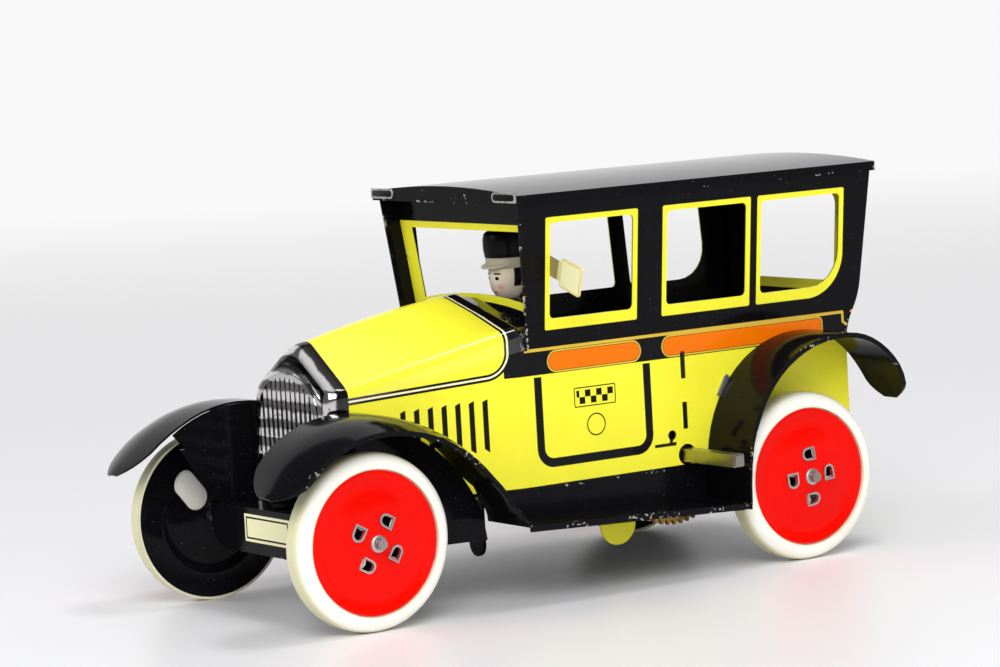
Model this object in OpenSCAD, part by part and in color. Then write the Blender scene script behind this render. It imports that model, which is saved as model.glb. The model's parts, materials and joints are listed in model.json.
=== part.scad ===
// Clockwork tinplate toy taxi: pressed and tabbed sheet body, spring motor, swivelling front axle.
// Frame: X forward, Y to the left, Z up. The origin is on the ground, midway between the axles.

/* [Sheet] */
// Thickness of the tinplate
tin = 0.5; // [0.4:0.1:0.6]
// Gap between pieces that seat beside each other
seat_gap = 0.1; // [0.05:0.05:0.2]
// Radial clearance of a shaft in its bearing hole
run_gap = 0.05; // [0.02:0.01:0.1]

/* [Wheels] */
// Distance between the two axles
wheelbase = 122; // [118:1:128]
// Radius of the tyre
tyre_r = 20; // [19:0.5:21]
// Width of the tyre rim
tyre_w = 5.2; // [4.4:0.1:6]
// Distance of the wheels' outer face from the centre plane
wheel_face = 38.6; // [37:0.1:40]
// Width of the tyre's side, from the disc to the tread
tyre_band = 3.6; // [3:0.1:4.6]
// Radius of the rounded tyre shoulder
shoulder_r = 2.6; // [1.5:0.1:3.2]
// Height by which the middle of the disc domes out
disc_dome = 1.3; // [0.6:0.1:2]
// Depth of the step pressed round the disc
disc_step = 0.7; // [0.3:0.1:1]
// Radius of both axles
axle_r = 1.2; // [1:0.1:1.5]
// Length of axle that stands out of a disc
axle_stub = 2.2; // [1:0.1:3]
// Radius of the ring of punched tab holes
tab_ring_r = 5.4; // [4.5:0.1:7]
// Length of one tab hole
tab_hole_l = 3.2; // [2:0.1:4]
// Width of one tab hole
tab_hole_w = 2.2; // [1.5:0.1:3]
// Half length of the oval opening in a back plate
back_oval_l = 5.4; // [4:0.1:5.6]
// Half width of the oval opening in a back plate
back_oval_w = 3.1; // [2:0.1:3.5]
// Distance of that opening from the axle
back_oval_r = 8.1; // [8:0.1:9]

/* [Lower body] */
// Half width of the lower body
body_half = 25.7; // [25:0.1:27]
// Height of the chassis plate's top above the axles
floor_rise = 4.6; // [4.2:0.1:5.5]
// Height of the lower body sides
side_h = 31.9; // [30:0.1:34]
// Place of the bend where the sides start to taper
cowl_x = 12; // [10.5:0.5:15]
// Place of the rear wall at the floor
rear_x = -84.5; // [-88:0.5:-83]
// Height of the straight part of the rear wall
rear_straight = 24; // [20:0.5:26]

/* [Bonnet] */
// Place of the joint between bonnet and radiator
bonnet_front = 52.7; // [50:0.1:55]
// Half width of the bonnet at the radiator
nose_half = 17; // [15.5:0.1:18.5]
// Height of the bonnet's lower edge at the radiator, above the floor
nose_edge = 23.6; // [21:0.1:26]
// Height of the bonnet's ridge above its lower edge, at the windscreen
ridge_back = 11.8; // [10.5:0.1:13]
// Height of the bonnet's ridge above its lower edge, at the radiator
ridge_front = 14.8; // [13:0.1:16]
// Bow of the ridge between its ends
ridge_bow = 1; // [0:0.1:2]
// Radius of the ridge
ridge_r = 5; // [3:0.1:7]
// Height of the bonnet's shoulders above its lower edge, at the windscreen
shoulder_back = 5.7; // [4.5:0.1:7]
// Height of the bonnet's shoulders above its lower edge, at the radiator
shoulder_front = 3.2; // [2.8:0.1:5]
// Radius of the bonnet's shoulders
hood_r = 3; // [2:0.1:4]

/* [Radiator] */
// Depth of the radiator shell
radiator_d = 6; // [5:0.1:7]
// Half width of the radiator's face at its foot
radiator_half = 15.6; // [14:0.1:16.5]
// Half width of the radiator's face under its arch
arch_half = 13; // [12:0.1:14]
// Height of the foot of that arch above the floor
arch_foot = 22.6; // [20:0.1:24]
// Rise of that arch
arch_rise = 8; // [6:0.1:9]
// Width of the bead round the grille
bead = 1.1; // [0.8:0.1:1.5]
// Height of the grille's lower edge above the floor
grille_foot = 3.6; // [3:0.1:5]
// Number of embossed grille rods
grille_rods = 13; // [9:2:17]
// Number of embossed cross bands
grille_bands = 6; // [4:1:8]
// Height of the rods and the rim bead above the grille plate
emboss = 0.7; // [0.5:0.1:0.9]

/* [Greenhouse] */
// Height of the upper sides
upper_h = 35.5; // [33:0.1:38]
// Angle by which the upper sides lean out
flare = 6.1; // [4:0.1:8]
// Place of the upper sides' front edge at its foot
post_x = 9.2; // [8.5:0.1:9.8]
// Distance of the windscreen panel behind those edges
screen_set = 4.8; // [4:0.1:5.5]
// Angle by which the windscreen leans forward
screen_lean = 5.1; // [3:0.1:7]
// Crown of the roof
crown = 1.7; // [1:0.1:2.5]
// Overhang of the roof past the upper sides
eaves = 1.1; // [0.8:0.1:1.6]
// Depth of the turned-down roof edge
roof_lip = 1.6; // [1:0.1:2.4]
// Overhang of the roof past the upper sides' front edges
peak = 0.9; // [0.7:0.1:2]

/* [Windows] */
// Height of the window sills above the belt
sill = 6.9; // [5:0.1:8]
// Height of the window openings
window_h = 22.2; // [20:0.1:23]
// Front edge of the front window
window_front = 3.1; // [2:0.1:4]
// Width of the front window
window_1 = 23.6; // [22:0.1:24]
// Width of the pillar behind the front window
pillar_1 = 9.8; // [8.5:0.1:11]
// Width of the middle window
window_2 = 23.4; // [22:0.1:24]
// Width of the pillar behind the middle window
pillar_2 = 4.5; // [3.5:0.1:5.5]
// Width of the rear side window
window_3 = 23.8; // [22:0.1:24.4]
// Corner radius of the windows
window_r = 1.2; // [0.8:0.1:2]
// Radius of the rear side window's lower rear corner
window_sweep = 8.5; // [5:0.1:10]
// Half width of the rear window
rear_window_half = 17; // [14:0.1:19]
// Height of the windscreen's lower edge above the belt, at the sides
screen_sill = 10.2; // [9:0.1:11]
// Rise of the windscreen's lower edge over the cowl
screen_arch = 1.8; // [1:0.1:3]
// Width of the frame beside the windscreen opening
screen_frame = 5.2; // [4:0.1:6]
// Distance of the windscreen's upper edge below the side windows' tops
screen_drop = 2; // [1:0.1:3]

/* [Fenders] */
// Width of the running boards
board_w = 16.8; // [15.5:0.1:18]
// Depth of the running boards' top below the floor
board_drop = 8.6; // [8:0.1:9.5]
// Depth of the turned-down edge of a running board
board_lip = 2.2; // [1.5:0.1:3]
// Distance of the front aprons' outer face from the centre plane
apron_half = 22.2; // [21.5:0.1:23]
// Distance from the front axle back to the foot of the front fender
front_foot = 38.7; // [37:0.1:40]
// Fall of the front fender from its ridge to its outer edge
fender_fall = 2.6; // [1.5:0.1:4]
// Upward bend of the left front fender's tip, in degrees
tip_bend_left = 8; // [0:1:12]
// Upward bend of the right front fender's tip, in degrees
tip_bend_right = -8; // [-12:1:0]
// Clearance between the rear tyre and the fender wall ahead of it
rear_arch_gap = 1; // [0.9:0.1:2]
// Radius of the front half of the rear fender's arch
rear_arch_r = 28.6; // [27.5:0.1:29.5]

/* [Chassis] */
// Distance of the valance ahead of the front axle
valance_ahead = 4.5; // [4.5:0.1:6]
// Height of the front valance
valance_h = 10.6; // [9:0.1:12]
// Radius of the valance's lower corners
valance_r = 7; // [4:0.5:9]
// Distance that the chassis plate runs past the rear wall
tail = 1.5; // [1:0.1:3]
// Depth of the chassis plate's turned-down rear edge
tail_drop = 4; // [3:0.1:6]

/* [Steering] */
// Thickness of the steering plate and the motor plates
plate_t = 0.8; // [0.6:0.1:1]
// Distance of the axle ears from the centre plane
ear_half = 20; // [17:0.5:22]
// Radius of the steering pivot
pivot_r = 1.5; // [1.2:0.1:2]
// Reach of the steering lever behind the pivot
lever_reach = 52.5; // [45:0.5:56]
// Half width of the steering lever
lever_half = 3; // [2:0.1:4]
// Height of the thumb tab's lower end above the ground
thumb_z = 6.4; // [5:0.1:9]

/* [Motor] */
// Distance of the winding arbor ahead of the rear axle
arbor_dx = 26.2; // [25:0.1:27]
// Height of the winding arbor above the rear axle
arbor_dz = 7.4; // [7.2:0.1:8.5]
// Distance of the left motor plate inside the body's left side
motor_left = 3.9; // [3.2:0.1:4.7]
// Distance between the motor plates' inner faces
motor_gap = 21.2; // [20.6:0.1:24]
// Gear module
gear_m = 0.6; // [0.58:0.01:0.62]
// Teeth of the great wheel
great_teeth = 56; // [52:1:58]
// Teeth of the intermediate pinion
pinion_teeth = 10; // [10:1:12]
// Teeth of the intermediate wheel
wheel_teeth = 36; // [34:1:38]
// Teeth of the pinion on the rear axle
axle_teeth = 12; // [12:1:14]
// Thickness of the gear wheels
gear_t = 1.2; // [1:0.1:1.4]
// Play between meshed teeth
backlash = 0.14; // [0.1:0.01:0.2]
// Added distance between the centres of meshed gears
mesh_gap = 0.08; // [0.05:0.01:0.12]
// Radius of the round part of the arbor
arbor_r = 2; // [1.8:0.1:2.1]
// Side of the arbor's square end
arbor_square = 3; // [2.6:0.1:3]
// Reach of the arbor past the body's left side
arbor_tip = 20.3; // [18:0.1:22]
// Turns of the mainspring
spring_turns = 7; // [5:1:8]
// Thickness of the mainspring strip
spring_t = 0.4; // [0.3:0.05:0.5]
// Width of the mainspring strip
spring_w = 12; // [9:0.5:12.5]
// Outer radius of the mainspring
spring_r = 14.4; // [12:0.1:15]
// Radius of the motor pillars
pillar_r = 1.2; // [1:0.1:1.5]
// Half width of the motor plates' arms
arm_half = 3.4; // [3:0.1:4]
// Reach of the stop lever below its rivet
stop_reach = 12; // [10:0.5:13]
// Half width of the stop lever's tongue
stop_half = 5; // [3:0.1:6]

/* [Fittings] */
// Distance of the driver's middle behind the windscreen panel's foot
driver_back = 7.4; // [6.8:0.1:9]
// Distance of the driver left of the centre plane
driver_y = 1; // [-2:0.1:4]
// Radius of the driver's head
head_r = 4.7; // [4:0.1:5]
// Height of the driver's shoulders above the floor
shoulder_h = 35; // [33:0.5:37]
// Height of the driver's cap
cap_h = 9; // [6:0.5:10]
// Reach of the meter flag from the body
flag_reach = 12.2; // [10:0.1:14]
// Length of the meter flag's plate
flag_w = 8; // [6:0.1:9]
// Height of the meter flag's plate
flag_h = 6.9; // [5:0.1:8]
// Height of the meter flag's neck
flag_neck = 4.4; // [3:0.1:5]
// Angle by which the meter flag droops
flag_droop = 17; // [0:1:25]
// Height of the meter flag's root above the belt
flag_foot = 19.1; // [17:0.1:21]

/* [Hidden] */
$fn = 64;

yellow = "#f8e818";
black = "#15151a";
red = "#e81c10";
cream = "#f6f4dc";
steel = "#b8bac0";
brass = "#c8a850";

axle_z = tyre_r;
rear_room = 2 * tyre_r;
front_x = wheelbase / 2;
back_x = -wheelbase / 2;
floor_z = axle_z + floor_rise;
under_z = floor_z - tin;
belt_z = floor_z + side_h;
eaves_z = belt_z + upper_h;
board_z = floor_z - board_drop;
fender_out = body_half + board_w;
valance_x = front_x + valance_ahead;
board_front = front_x - front_foot;
rear_wall = back_x + tyre_r + rear_arch_gap;
taper = (body_half - nose_half) / (bonnet_front - cowl_x);
roof_half = half_at(eaves_z) + eaves;
radiator_x = bonnet_front + radiator_d;
screen_x = post_x - screen_set;
bonnet_back = screen_at(belt_z + ridge_back) + tin + seat_gap;

// Half width of the body outside at a height
function half_at(z) = body_half + max(0, z - belt_z) * tan(flare);
// Half width of the tapered lower body at a place along it
function side_half(x) = body_half - max(0, x - cowl_x) * taper;
// Back face of the windscreen panel at a height
function screen_at(z) = screen_x + (z - belt_z) * tan(screen_lean);
// Front edge of the upper sides at a height
function post_at(z) = post_x + (z - belt_z) * tan(screen_lean);
// Underside of the roof at a distance from the centre plane
function roof_under(y) = eaves_z + seat_gap + crown * (1 - pow(y / roof_half, 2));
// Height of the joint between body side and bonnet
function edge_z(x) = belt_z + (floor_z + nose_edge - belt_z) * max(0, x - cowl_x) / (bonnet_front - cowl_x);

// Outline of arcs and straights, walked from a point: each leg is [turn in degrees, length, steps].
// Points come back as [x, z, heading].
function leg_point(p, h, turn, run) =
    abs(turn) < 0.001
        ? [p[0] + run * cos(h), p[1] + run * sin(h), h]
        : let (r = run / (turn * PI / 180))
          [p[0] + r * (sin(h + turn) - sin(h)), p[1] - r * (cos(h + turn) - cos(h)), h + turn];
function walk(p, h, legs, k = 0) =
    k == len(legs)
        ? [[p[0], p[1], h]]
        : let (leg = legs[k], end = leg_point(p, h, leg[0], leg[1]))
          concat([for (i = [0 : leg[2] - 1]) leg_point(p, h, leg[0] * i / leg[2], leg[1] * i / leg[2])],
                 walk(end, end[2], legs, k + 1));
// The same outline moved to its right by d
function beside(path, d) = [for (p = path) [p[0] + d * sin(p[2]), p[1] - d * cos(p[2]), p[2]]];
function flat(path) = [for (p = path) [p[0], p[1]]];
function backwards(list) = [for (i = [len(list) - 1 : -1 : 0]) list[i]];
function strip(path, t) = concat(flat(path), backwards(flat(beside(path, t))));

// Points of a rectangle with one radius per corner: lower left, lower right, upper right, upper left
function rounded(x0, z0, x1, z1, r, steps = 6) =
    let (at = [[x0 + r[0], z0 + r[0]], [x1 - r[1], z0 + r[1]], [x1 - r[2], z1 - r[2]], [x0 + r[3], z1 - r[3]]])
    [for (c = [0 : 3], i = [0 : steps])
        at[c] + r[c] * [cos(180 + 90 * c + 90 * i / steps), sin(180 + 90 * c + 90 * i / steps)]];

// Half of a bonnet section, from its foot over the shoulder to the ridge, moved inwards by d
shoulder_steps = 6;
ridge_steps = 3;
function half_hood(half, foot, corner, top, d) =
    let (pitch = atan2(top - corner, half),
         bend = 90 - pitch,
         shoulder = [half - hood_r, corner - hood_r * tan(bend / 2)],
         ridge = [0, top - ridge_r / cos(pitch)])
    concat([[half - d, foot]],
           [for (i = [0 : shoulder_steps]) let (a = bend * i / shoulder_steps)
               shoulder + (hood_r - d) * [cos(a), sin(a)]],
           [for (i = [0 : ridge_steps]) let (a = bend + pitch * i / ridge_steps)
               ridge + (ridge_r - d) * [cos(a), sin(a)]]);
// The same with its mirror image, without the ridge twice
function mirrored(points) =
    concat(points, [for (i = [len(points) - 2 : -1 : 0]) [-points[i][0], points[i][1]]]);

// Solids
module along_y(y0, y1) {
    translate([0, y1, 0]) rotate([90, 0, 0]) linear_extrude(y1 - y0) children();
}
module along_x(x0, x1) {
    translate([x0, 0, 0]) rotate([90, 0, 90]) linear_extrude(x1 - x0) children();
}
module right_hand() {
    mirror([0, 1, 0]) children();
}
module spun_y(x, z) {
    translate([x, 0, z]) rotate([-90, 0, 0]) children();
}
module bar_y(x, z, r, y0, y1) {
    spun_y(x, z) translate([0, 0, y0]) cylinder(r = r, h = y1 - y0);
}
module arm(p, q, r) {
    steps = 14;
    lie = atan2(q[1] - p[1], q[0] - p[0]);
    polygon(concat([for (i = [0 : steps]) let (a = lie + 90 + 180 * i / steps) p + r * [cos(a), sin(a)]],
                   [for (i = [0 : steps]) let (a = lie - 90 + 180 * i / steps) q + r * [cos(a), sin(a)]]));
}
// Closed sheet between two grids of points, an outer and an inner one
module sheet(outer, inner) {
    rows = len(outer);
    cols = len(outer[0]);
    half = rows * cols;
    points = [for (g = [outer, inner], r = g, p = r) p];
    function at(g, i, j) = g * half + i * cols + j;
    function quad(a, b, c, d) = [[a, b, c], [a, c, d]];
    faces = [for (f = concat(
        [for (i = [0 : rows - 2], j = [0 : cols - 2])
            quad(at(0, i, j), at(0, i + 1, j), at(0, i + 1, j + 1), at(0, i, j + 1))],
        [for (i = [0 : rows - 2], j = [0 : cols - 2])
            quad(at(1, i, j), at(1, i, j + 1), at(1, i + 1, j + 1), at(1, i + 1, j))],
        [for (i = [0 : rows - 2]) quad(at(0, i, 0), at(1, i, 0), at(1, i + 1, 0), at(0, i + 1, 0))],
        [for (i = [0 : rows - 2])
            quad(at(0, i, cols - 1), at(0, i + 1, cols - 1), at(1, i + 1, cols - 1), at(1, i, cols - 1))],
        [for (j = [0 : cols - 2]) quad(at(0, 0, j), at(0, 0, j + 1), at(1, 0, j + 1), at(1, 0, j))],
        [for (j = [0 : cols - 2])
            quad(at(0, rows - 1, j), at(1, rows - 1, j), at(1, rows - 1, j + 1), at(0, rows - 1, j + 1))]
    ), t = f) t];
    polyhedron(points, faces, convexity = 6);
}

// Chassis
pillar_rise = 20.2;
arbor = [back_x + arbor_dx, axle_z + arbor_dz];
axle = [back_x, axle_z];
mesh_1 = gear_m * (great_teeth + pinion_teeth) / 2 + mesh_gap;
mesh_2 = gear_m * (wheel_teeth + axle_teeth) / 2 + mesh_gap;
span = norm(axle - arbor);
foot_1 = (mesh_1 * mesh_1 - mesh_2 * mesh_2 + span * span) / (2 * span);
toward = (axle - arbor) / span;
middle = arbor + toward * foot_1 + [toward[1], -toward[0]] * sqrt(mesh_1 * mesh_1 - foot_1 * foot_1);
great_tip = gear_m * (great_teeth / 2 + 0.8);
wheel_tip = gear_m * (wheel_teeth / 2 + 0.8);
post_gap = 2;
pillars = [
    arbor + [0, great_tip + pillar_r + post_gap],
    arbor + [great_tip + pillar_r + post_gap, 0],
    middle + (wheel_tip + pillar_r + post_gap) * [cos(157), sin(157)],
    axle + [-10, 6]
];
motor_out = body_half - motor_left;
arbor_end = body_half + arbor_tip;
motor_in = motor_out - plate_t;
motor_right = motor_in - motor_gap;
lug_seat = 3;
lug_room = 1;
pit_left = motor_out + lug_room;
pit_right = motor_right - plate_t - lug_room;
pit_back = pillars[3][0] - arm_half - lug_room;
pit_front = pillars[1][0] + arm_half + lug_room;

module chassis_plate() color(black) {
    difference() {
        translate([rear_x - tail, -body_half, under_z])
            cube([valance_x - rear_x + tail, 2 * body_half, tin]);
        translate([pit_back, pit_right, under_z - tin]) cube([pit_front - pit_back, pit_left - pit_right, 3 * tin]);
        translate([front_x, 0, under_z - tin]) cylinder(r = pivot_r + run_gap, h = 3 * tin);
    }
    translate([rear_x - tail, -body_half, under_z - tail_drop]) cube([tin, 2 * body_half, tail_drop + tin]);
}

module front_valance() color(black)
    along_x(valance_x, valance_x + tin)
        polygon(rounded(-body_half, floor_z - valance_h, body_half, floor_z,
                        [valance_r, valance_r, tin, tin]));

module running_board() color(black) {
    length = board_front - rear_wall + tin;
    translate([rear_wall - tin, body_half - tin, board_z - tin]) cube([length, board_w + tin, tin]);
    translate([rear_wall - tin, body_half - tin, board_z - tin]) cube([length, tin, under_z - board_z + tin]);
    translate([rear_wall - tin, fender_out - tin, board_z - tin - board_lip]) cube([length, tin, board_lip + tin]);
}
module running_board_left() running_board();
module running_board_right() right_hand() running_board();

// Lower body
rear_low = walk([rear_x, floor_z], 90, [[0, rear_straight, 1], [30, 8, 5], [-25, 8, 5]]);
rear_last = rear_low[len(rear_low) - 1];
rear_path = concat(rear_low, [[rear_last[0] + (eaves_z - rear_last[1]) / tan(rear_last[2]), eaves_z, rear_last[2]]]);
rear_inner = flat(beside(rear_path, tin));

module below(z) {
    polygon([[-200, 0], [200, 0], [200, z], [-200, z]]);
}
module side_profile() {
    intersection() {
        polygon(concat(backwards(rear_inner), [[bonnet_front, floor_z], [bonnet_front, edge_z(bonnet_front)],
                       [cowl_x, belt_z], [cowl_x, eaves_z]]));
        below(belt_z);
    }
}
module side_plan() {
    polygon([[rear_x - 20, body_half], [cowl_x, body_half], [bonnet_front, nose_half],
             [bonnet_front, nose_half - tin], [cowl_x, body_half - tin], [rear_x - 20, body_half - tin]]);
}
module body_side() color(yellow)
    intersection() {
        along_y(0, 2 * body_half) side_profile();
        translate([0, 0, floor_z]) linear_extrude(side_h) side_plan();
    }

// Slits for the motor's lugs, the arbor hole and the catch slot in the left side
lug_h = 5.8;
lug_low = 6.4;
lug_high = 18.4;
slit_gap = 0.3;
catch_at = [2.9, 2.5];
catch_run = 6.4;
catch_rise = 3.7;
module side_lug(z, grow) {
    translate([arbor[0] - plate_t / 2 - grow, motor_out, z - grow])
        cube([plate_t + 2 * grow, body_half - motor_out + grow, lug_h + 2 * grow]);
}
module body_side_left() color(yellow)
    difference() {
        body_side();
        bar_y(arbor[0], arbor[1], arbor_square / sqrt(2) + 0.4, body_half - 2 * tin, body_half + tin);
        side_lug(arbor[1] + lug_low, slit_gap);
        side_lug(arbor[1] + lug_high, slit_gap);
        along_y(body_half - 2 * tin, body_half + tin) translate(arbor + catch_at) {
            square([catch_run, 0.8]);
            translate([1, 0]) square([1, catch_rise - 1]);
            translate([1.2, catch_rise - 1.2]) circle(1.2);
        }
    }
module body_side_right() right_hand() body_side();

// Bonnet and radiator
function along_bonnet(x) = max(0, (x - bonnet_back) / (bonnet_front - bonnet_back));
function ridge_z(x) = let (u = along_bonnet(x))
    edge_z(x) + ridge_back + (ridge_front - ridge_back) * u + 4 * ridge_bow * u * (1 - u);
function shoulder_z(x) = edge_z(x) + shoulder_back + (shoulder_front - shoulder_back) * along_bonnet(x);
function hood_half(x, d) = half_hood(side_half(x), edge_z(x), shoulder_z(x), ridge_z(x), d);

// The cowl behind the joggle fits between the upper sides, and the bonnet ahead of it is flush with the body
joggle = 0.9;
module bonnet() {
    steps = 7;
    cowl_in = tin + seat_gap;
    joggle_x = post_at(belt_z + ridge_back) + seat_gap;
    rows = concat([[bonnet_back, cowl_in], [joggle_x, cowl_in], [joggle_x + joggle, 0]],
                  [for (i = [0 : steps]) [cowl_x + (bonnet_front - cowl_x) * i / steps, 0]]);
    function skin(row, t) = [for (p = mirrored(hood_half(row[0], row[1] + t))) [row[0], p[0], p[1]]];
    color(yellow) sheet([for (r = rows) skin(r, 0)], [for (r = rows) skin(r, tin)]);
}

grille_z = floor_z + grille_foot;
arch_z = floor_z + arch_foot;
face_top = arch_z + arch_rise;
face_steps = shoulder_steps + ridge_steps + 2;
// Half outline of the radiator's face from its foot to the top of its arch, with as many points as half a hood
function half_face(foot, d) =
    concat([[radiator_half - d, foot]],
           [for (i = [0 : face_steps - 1]) let (a = 90 * i / (face_steps - 1))
               [(arch_half - d) * cos(a), arch_z + (arch_rise - d) * sin(a)]]);
module face_outline(inset) {
    polygon(mirrored(half_face(grille_z + inset, inset)));
}
// One ring of the shell, between the bonnet's section and the face
function shell_ring(turn, t) =
    let (back = concat([[nose_half - t, floor_z]], hood_half(bonnet_front, t)),
         face = half_face(floor_z, t),
         front = concat([face[0]], face),
         x = bonnet_front + (radiator_d - t) * sin(turn),
         m = 1 - cos(turn))
    [for (p = mirrored([for (i = [0 : len(back) - 1]) back[i] + (front[i] - back[i]) * m])) [x, p[0], p[1]]];
module radiator() color(steel) {
    turns = [0, 18, 36, 54, 70, 82, 90];
    sheet([for (a = turns) shell_ring(a, 0)], [for (a = turns) shell_ring(a, tin)]);
    plate_x = radiator_x - emboss - tin;
    rod_gap = 2 * (radiator_half - bead) / (grille_rods + 1);
    band_gap = (face_top - grille_z) / (grille_bands + 1);
    along_x(plate_x, plate_x + tin) face_outline(tin / 2);
    along_x(plate_x, radiator_x + tin / 2) difference() {
        face_outline(0);
        face_outline(bead);
    }
    intersection() {
        along_x(plate_x, radiator_x) face_outline(bead / 2);
        union() {
            for (i = [1 : grille_rods])
                translate([plate_x + tin, (i - (grille_rods + 1) / 2) * rod_gap, grille_z])
                    cylinder(r = rod_gap * 0.34, h = face_top - grille_z);
            for (i = [1 : grille_bands])
                translate([plate_x + tin, -radiator_half, grille_z + i * band_gap])
                    rotate([-90, 0, 0]) cylinder(r = emboss * 0.7, h = 2 * radiator_half);
        }
    }
}

// Greenhouse
module flared_slab(skin) {
    polygon_y = [for (z = [belt_z, eaves_z]) half_at(z)];
    along_x(rear_x - rear_room, front_x)
        polygon([[polygon_y[0] - tin + skin, belt_z], [polygon_y[0] + skin, belt_z],
                 [polygon_y[1] + skin, eaves_z], [polygon_y[1] - tin + skin, eaves_z]]);
}
module upper_profile() {
    polygon(concat([for (p = backwards(rear_inner)) if (p[1] > belt_z) p],
                   [[rear_at(belt_z), belt_z], [post_at(belt_z), belt_z], [post_at(eaves_z), eaves_z]]));
}
// Inner face of the rear wall at a height on its curved part
function rear_at(z) = lookup(z, [for (p = rear_inner) [p[1], p[0]]]);

window_z = belt_z + sill;
window_top = window_z + window_h;
window_starts = [
    window_front,
    window_front - window_1 - pillar_1,
    window_front - window_1 - pillar_1 - window_2 - pillar_2
];
window_widths = [window_1, window_2, window_3];
module side_windows() {
    for (i = [0 : 2])
        polygon(rounded(window_starts[i] - window_widths[i], window_z, window_starts[i], window_top,
                        [i == 2 ? window_sweep : window_r, window_r, window_r, window_r]));
}
module upper_side() color(black)
    difference() {
        intersection() {
            flared_slab(0);
            along_y(0, 2 * body_half) upper_profile();
        }
        along_y(0, 2 * body_half) side_windows();
    }
module upper_side_left() upper_side();
module upper_side_right() right_hand() upper_side();

// Front or rear view of the greenhouse, with its top edge under the roof, narrower by d at each side
module end_view(foot, d) {
    steps = 16;
    top = half_at(eaves_z) - d;
    side = body_half - d;
    polygon(concat([[half_at(foot) - d, foot], [side, max(foot, belt_z)], [top, eaves_z - seat_gap]],
                   [for (i = [1 : steps - 1]) let (y = top * (1 - 2 * i / steps)) [y, roof_under(y) - seat_gap]],
                   [[-top, eaves_z - seat_gap], [-side, max(foot, belt_z)], [d - half_at(foot), foot]]));
}
module screen_opening() {
    steps = 12;
    low = belt_z + screen_sill;
    high = window_top - screen_drop;
    half = half_at(low) - screen_frame;
    polygon(concat([[half_at(high) - screen_frame, high], [screen_frame - half_at(high), high]],
                   [for (i = [0 : steps]) let (y = half * (2 * i / steps - 1))
                       [y, low + screen_arch * (1 - pow(y / half, 2))]]));
}
module windscreen_panel() color(black)
    difference() {
        intersection() {
            along_y(-2 * body_half, 2 * body_half)
                polygon([[screen_at(belt_z), belt_z], [screen_at(belt_z) + tin, belt_z],
                         [screen_at(eaves_z + 3) + tin, eaves_z + 3], [screen_at(eaves_z + 3), eaves_z + 3]]);
            along_x(0, front_x) end_view(belt_z, tin + seat_gap);
        }
        along_x(0, front_x) screen_opening();
    }
module rear_panel() color(black)
    difference() {
        intersection() {
            along_y(-2 * body_half, 2 * body_half)
                polygon(concat(strip(rear_path, tin)));
            along_x(rear_x - rear_room, 0) end_view(floor_z, 0);
        }
        along_x(rear_x - rear_room, 0)
            polygon(rounded(-rear_window_half, window_z, rear_window_half, window_top, [4, 4, 4, 4]));
    }
roof_front = post_at(eaves_z) + peak;
roof_back = rear_path[len(rear_path) - 1][0] - peak / 2;
module roof() color(black) {
    steps = 24;
    inner = roof_half - tin;
    along_x(roof_back, roof_front)
        polygon(concat(
            [[-roof_half, eaves_z - roof_lip]],
            [for (i = [0 : steps]) let (y = roof_half * (2 * i / steps - 1)) [y, roof_under(y) + tin]],
            [[roof_half, eaves_z - roof_lip], [inner, eaves_z - roof_lip]],
            [for (i = [0 : steps]) let (y = inner * (1 - 2 * i / steps)) [y, roof_under(y)]],
            [[-inner, eaves_z - roof_lip]]));
    along_x(roof_front - tin, roof_front)
        polygon(concat([[-roof_half, eaves_z - roof_lip]],
                       [for (i = [0 : steps]) let (y = roof_half * (2 * i / steps - 1)) [y, roof_under(y) + tin]],
                       [[roof_half, eaves_z - roof_lip]]));
}

// Front fender: a path over the wheel, a cross-section that falls to the outer edge, a rounded tip
front_rise = 5.4;
front_crown = 47.6;
front_nose = 25.4;
front_legs = [[-18, front_rise, 3], [-72, front_crown, 14], [-46, front_nose, 8]];
tip_run = 7;
tip_steps = 5;
function front_path(bend) = walk([board_front, board_z], 90, concat(front_legs, [[bend, tip_run, tip_steps]]));
fender_cols = [0, 0.2, 0.4, 0.55, 0.7, 0.85, 1, 1];
edge_turn = 1.2;
function edge_depth(part) = max(1.2 * tin, edge_turn * part);
foot_rows = 7;
foot_room = 4;
module front_fender(bend) {
    path = front_path(bend);
    last = len(path) - 1;
    function inner_y(p) = p[1] < floor_z + foot_room
        ? body_half + seat_gap
        : max(apron_half, side_half(p[0]) + seat_gap);
    function tip(i) = max(0, (i - (last - tip_steps - 3)) / (tip_steps + 3));
    function pinch(i) = sqrt(1 - pow(min(tip(i), 0.97), 2));
    function row(i, t) = let (
        p = path[i],
        y0 = inner_y(p),
        mid = (y0 + fender_out) / 2 + 3 * tip(i),
        half_w = (fender_out - y0) / 2 * pinch(i),
        fade = min(1, i / foot_rows))
        [for (c = [0 : len(fender_cols) - 1])
            let (u = fender_cols[c],
                 drop = fade * fender_fall * pow(max(0, (u - 0.3) / 0.7), 2) * pinch(i),
                 fall = drop + (c == len(fender_cols) - 1 ? edge_depth(fade * pinch(i)) : t),
                 inset = u == 1 ? t : 0)
            [p[0] + fall * sin(p[2]), mid + (2 * u - 1) * half_w - inset, p[1] - fall * cos(p[2])]];
    color(black) sheet([for (i = [0 : last]) row(i, 0)], [for (i = [0 : last]) row(i, tin)]);
}
module front_fender_left() front_fender(tip_bend_left);
module front_fender_right() right_hand() front_fender(tip_bend_right);

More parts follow.
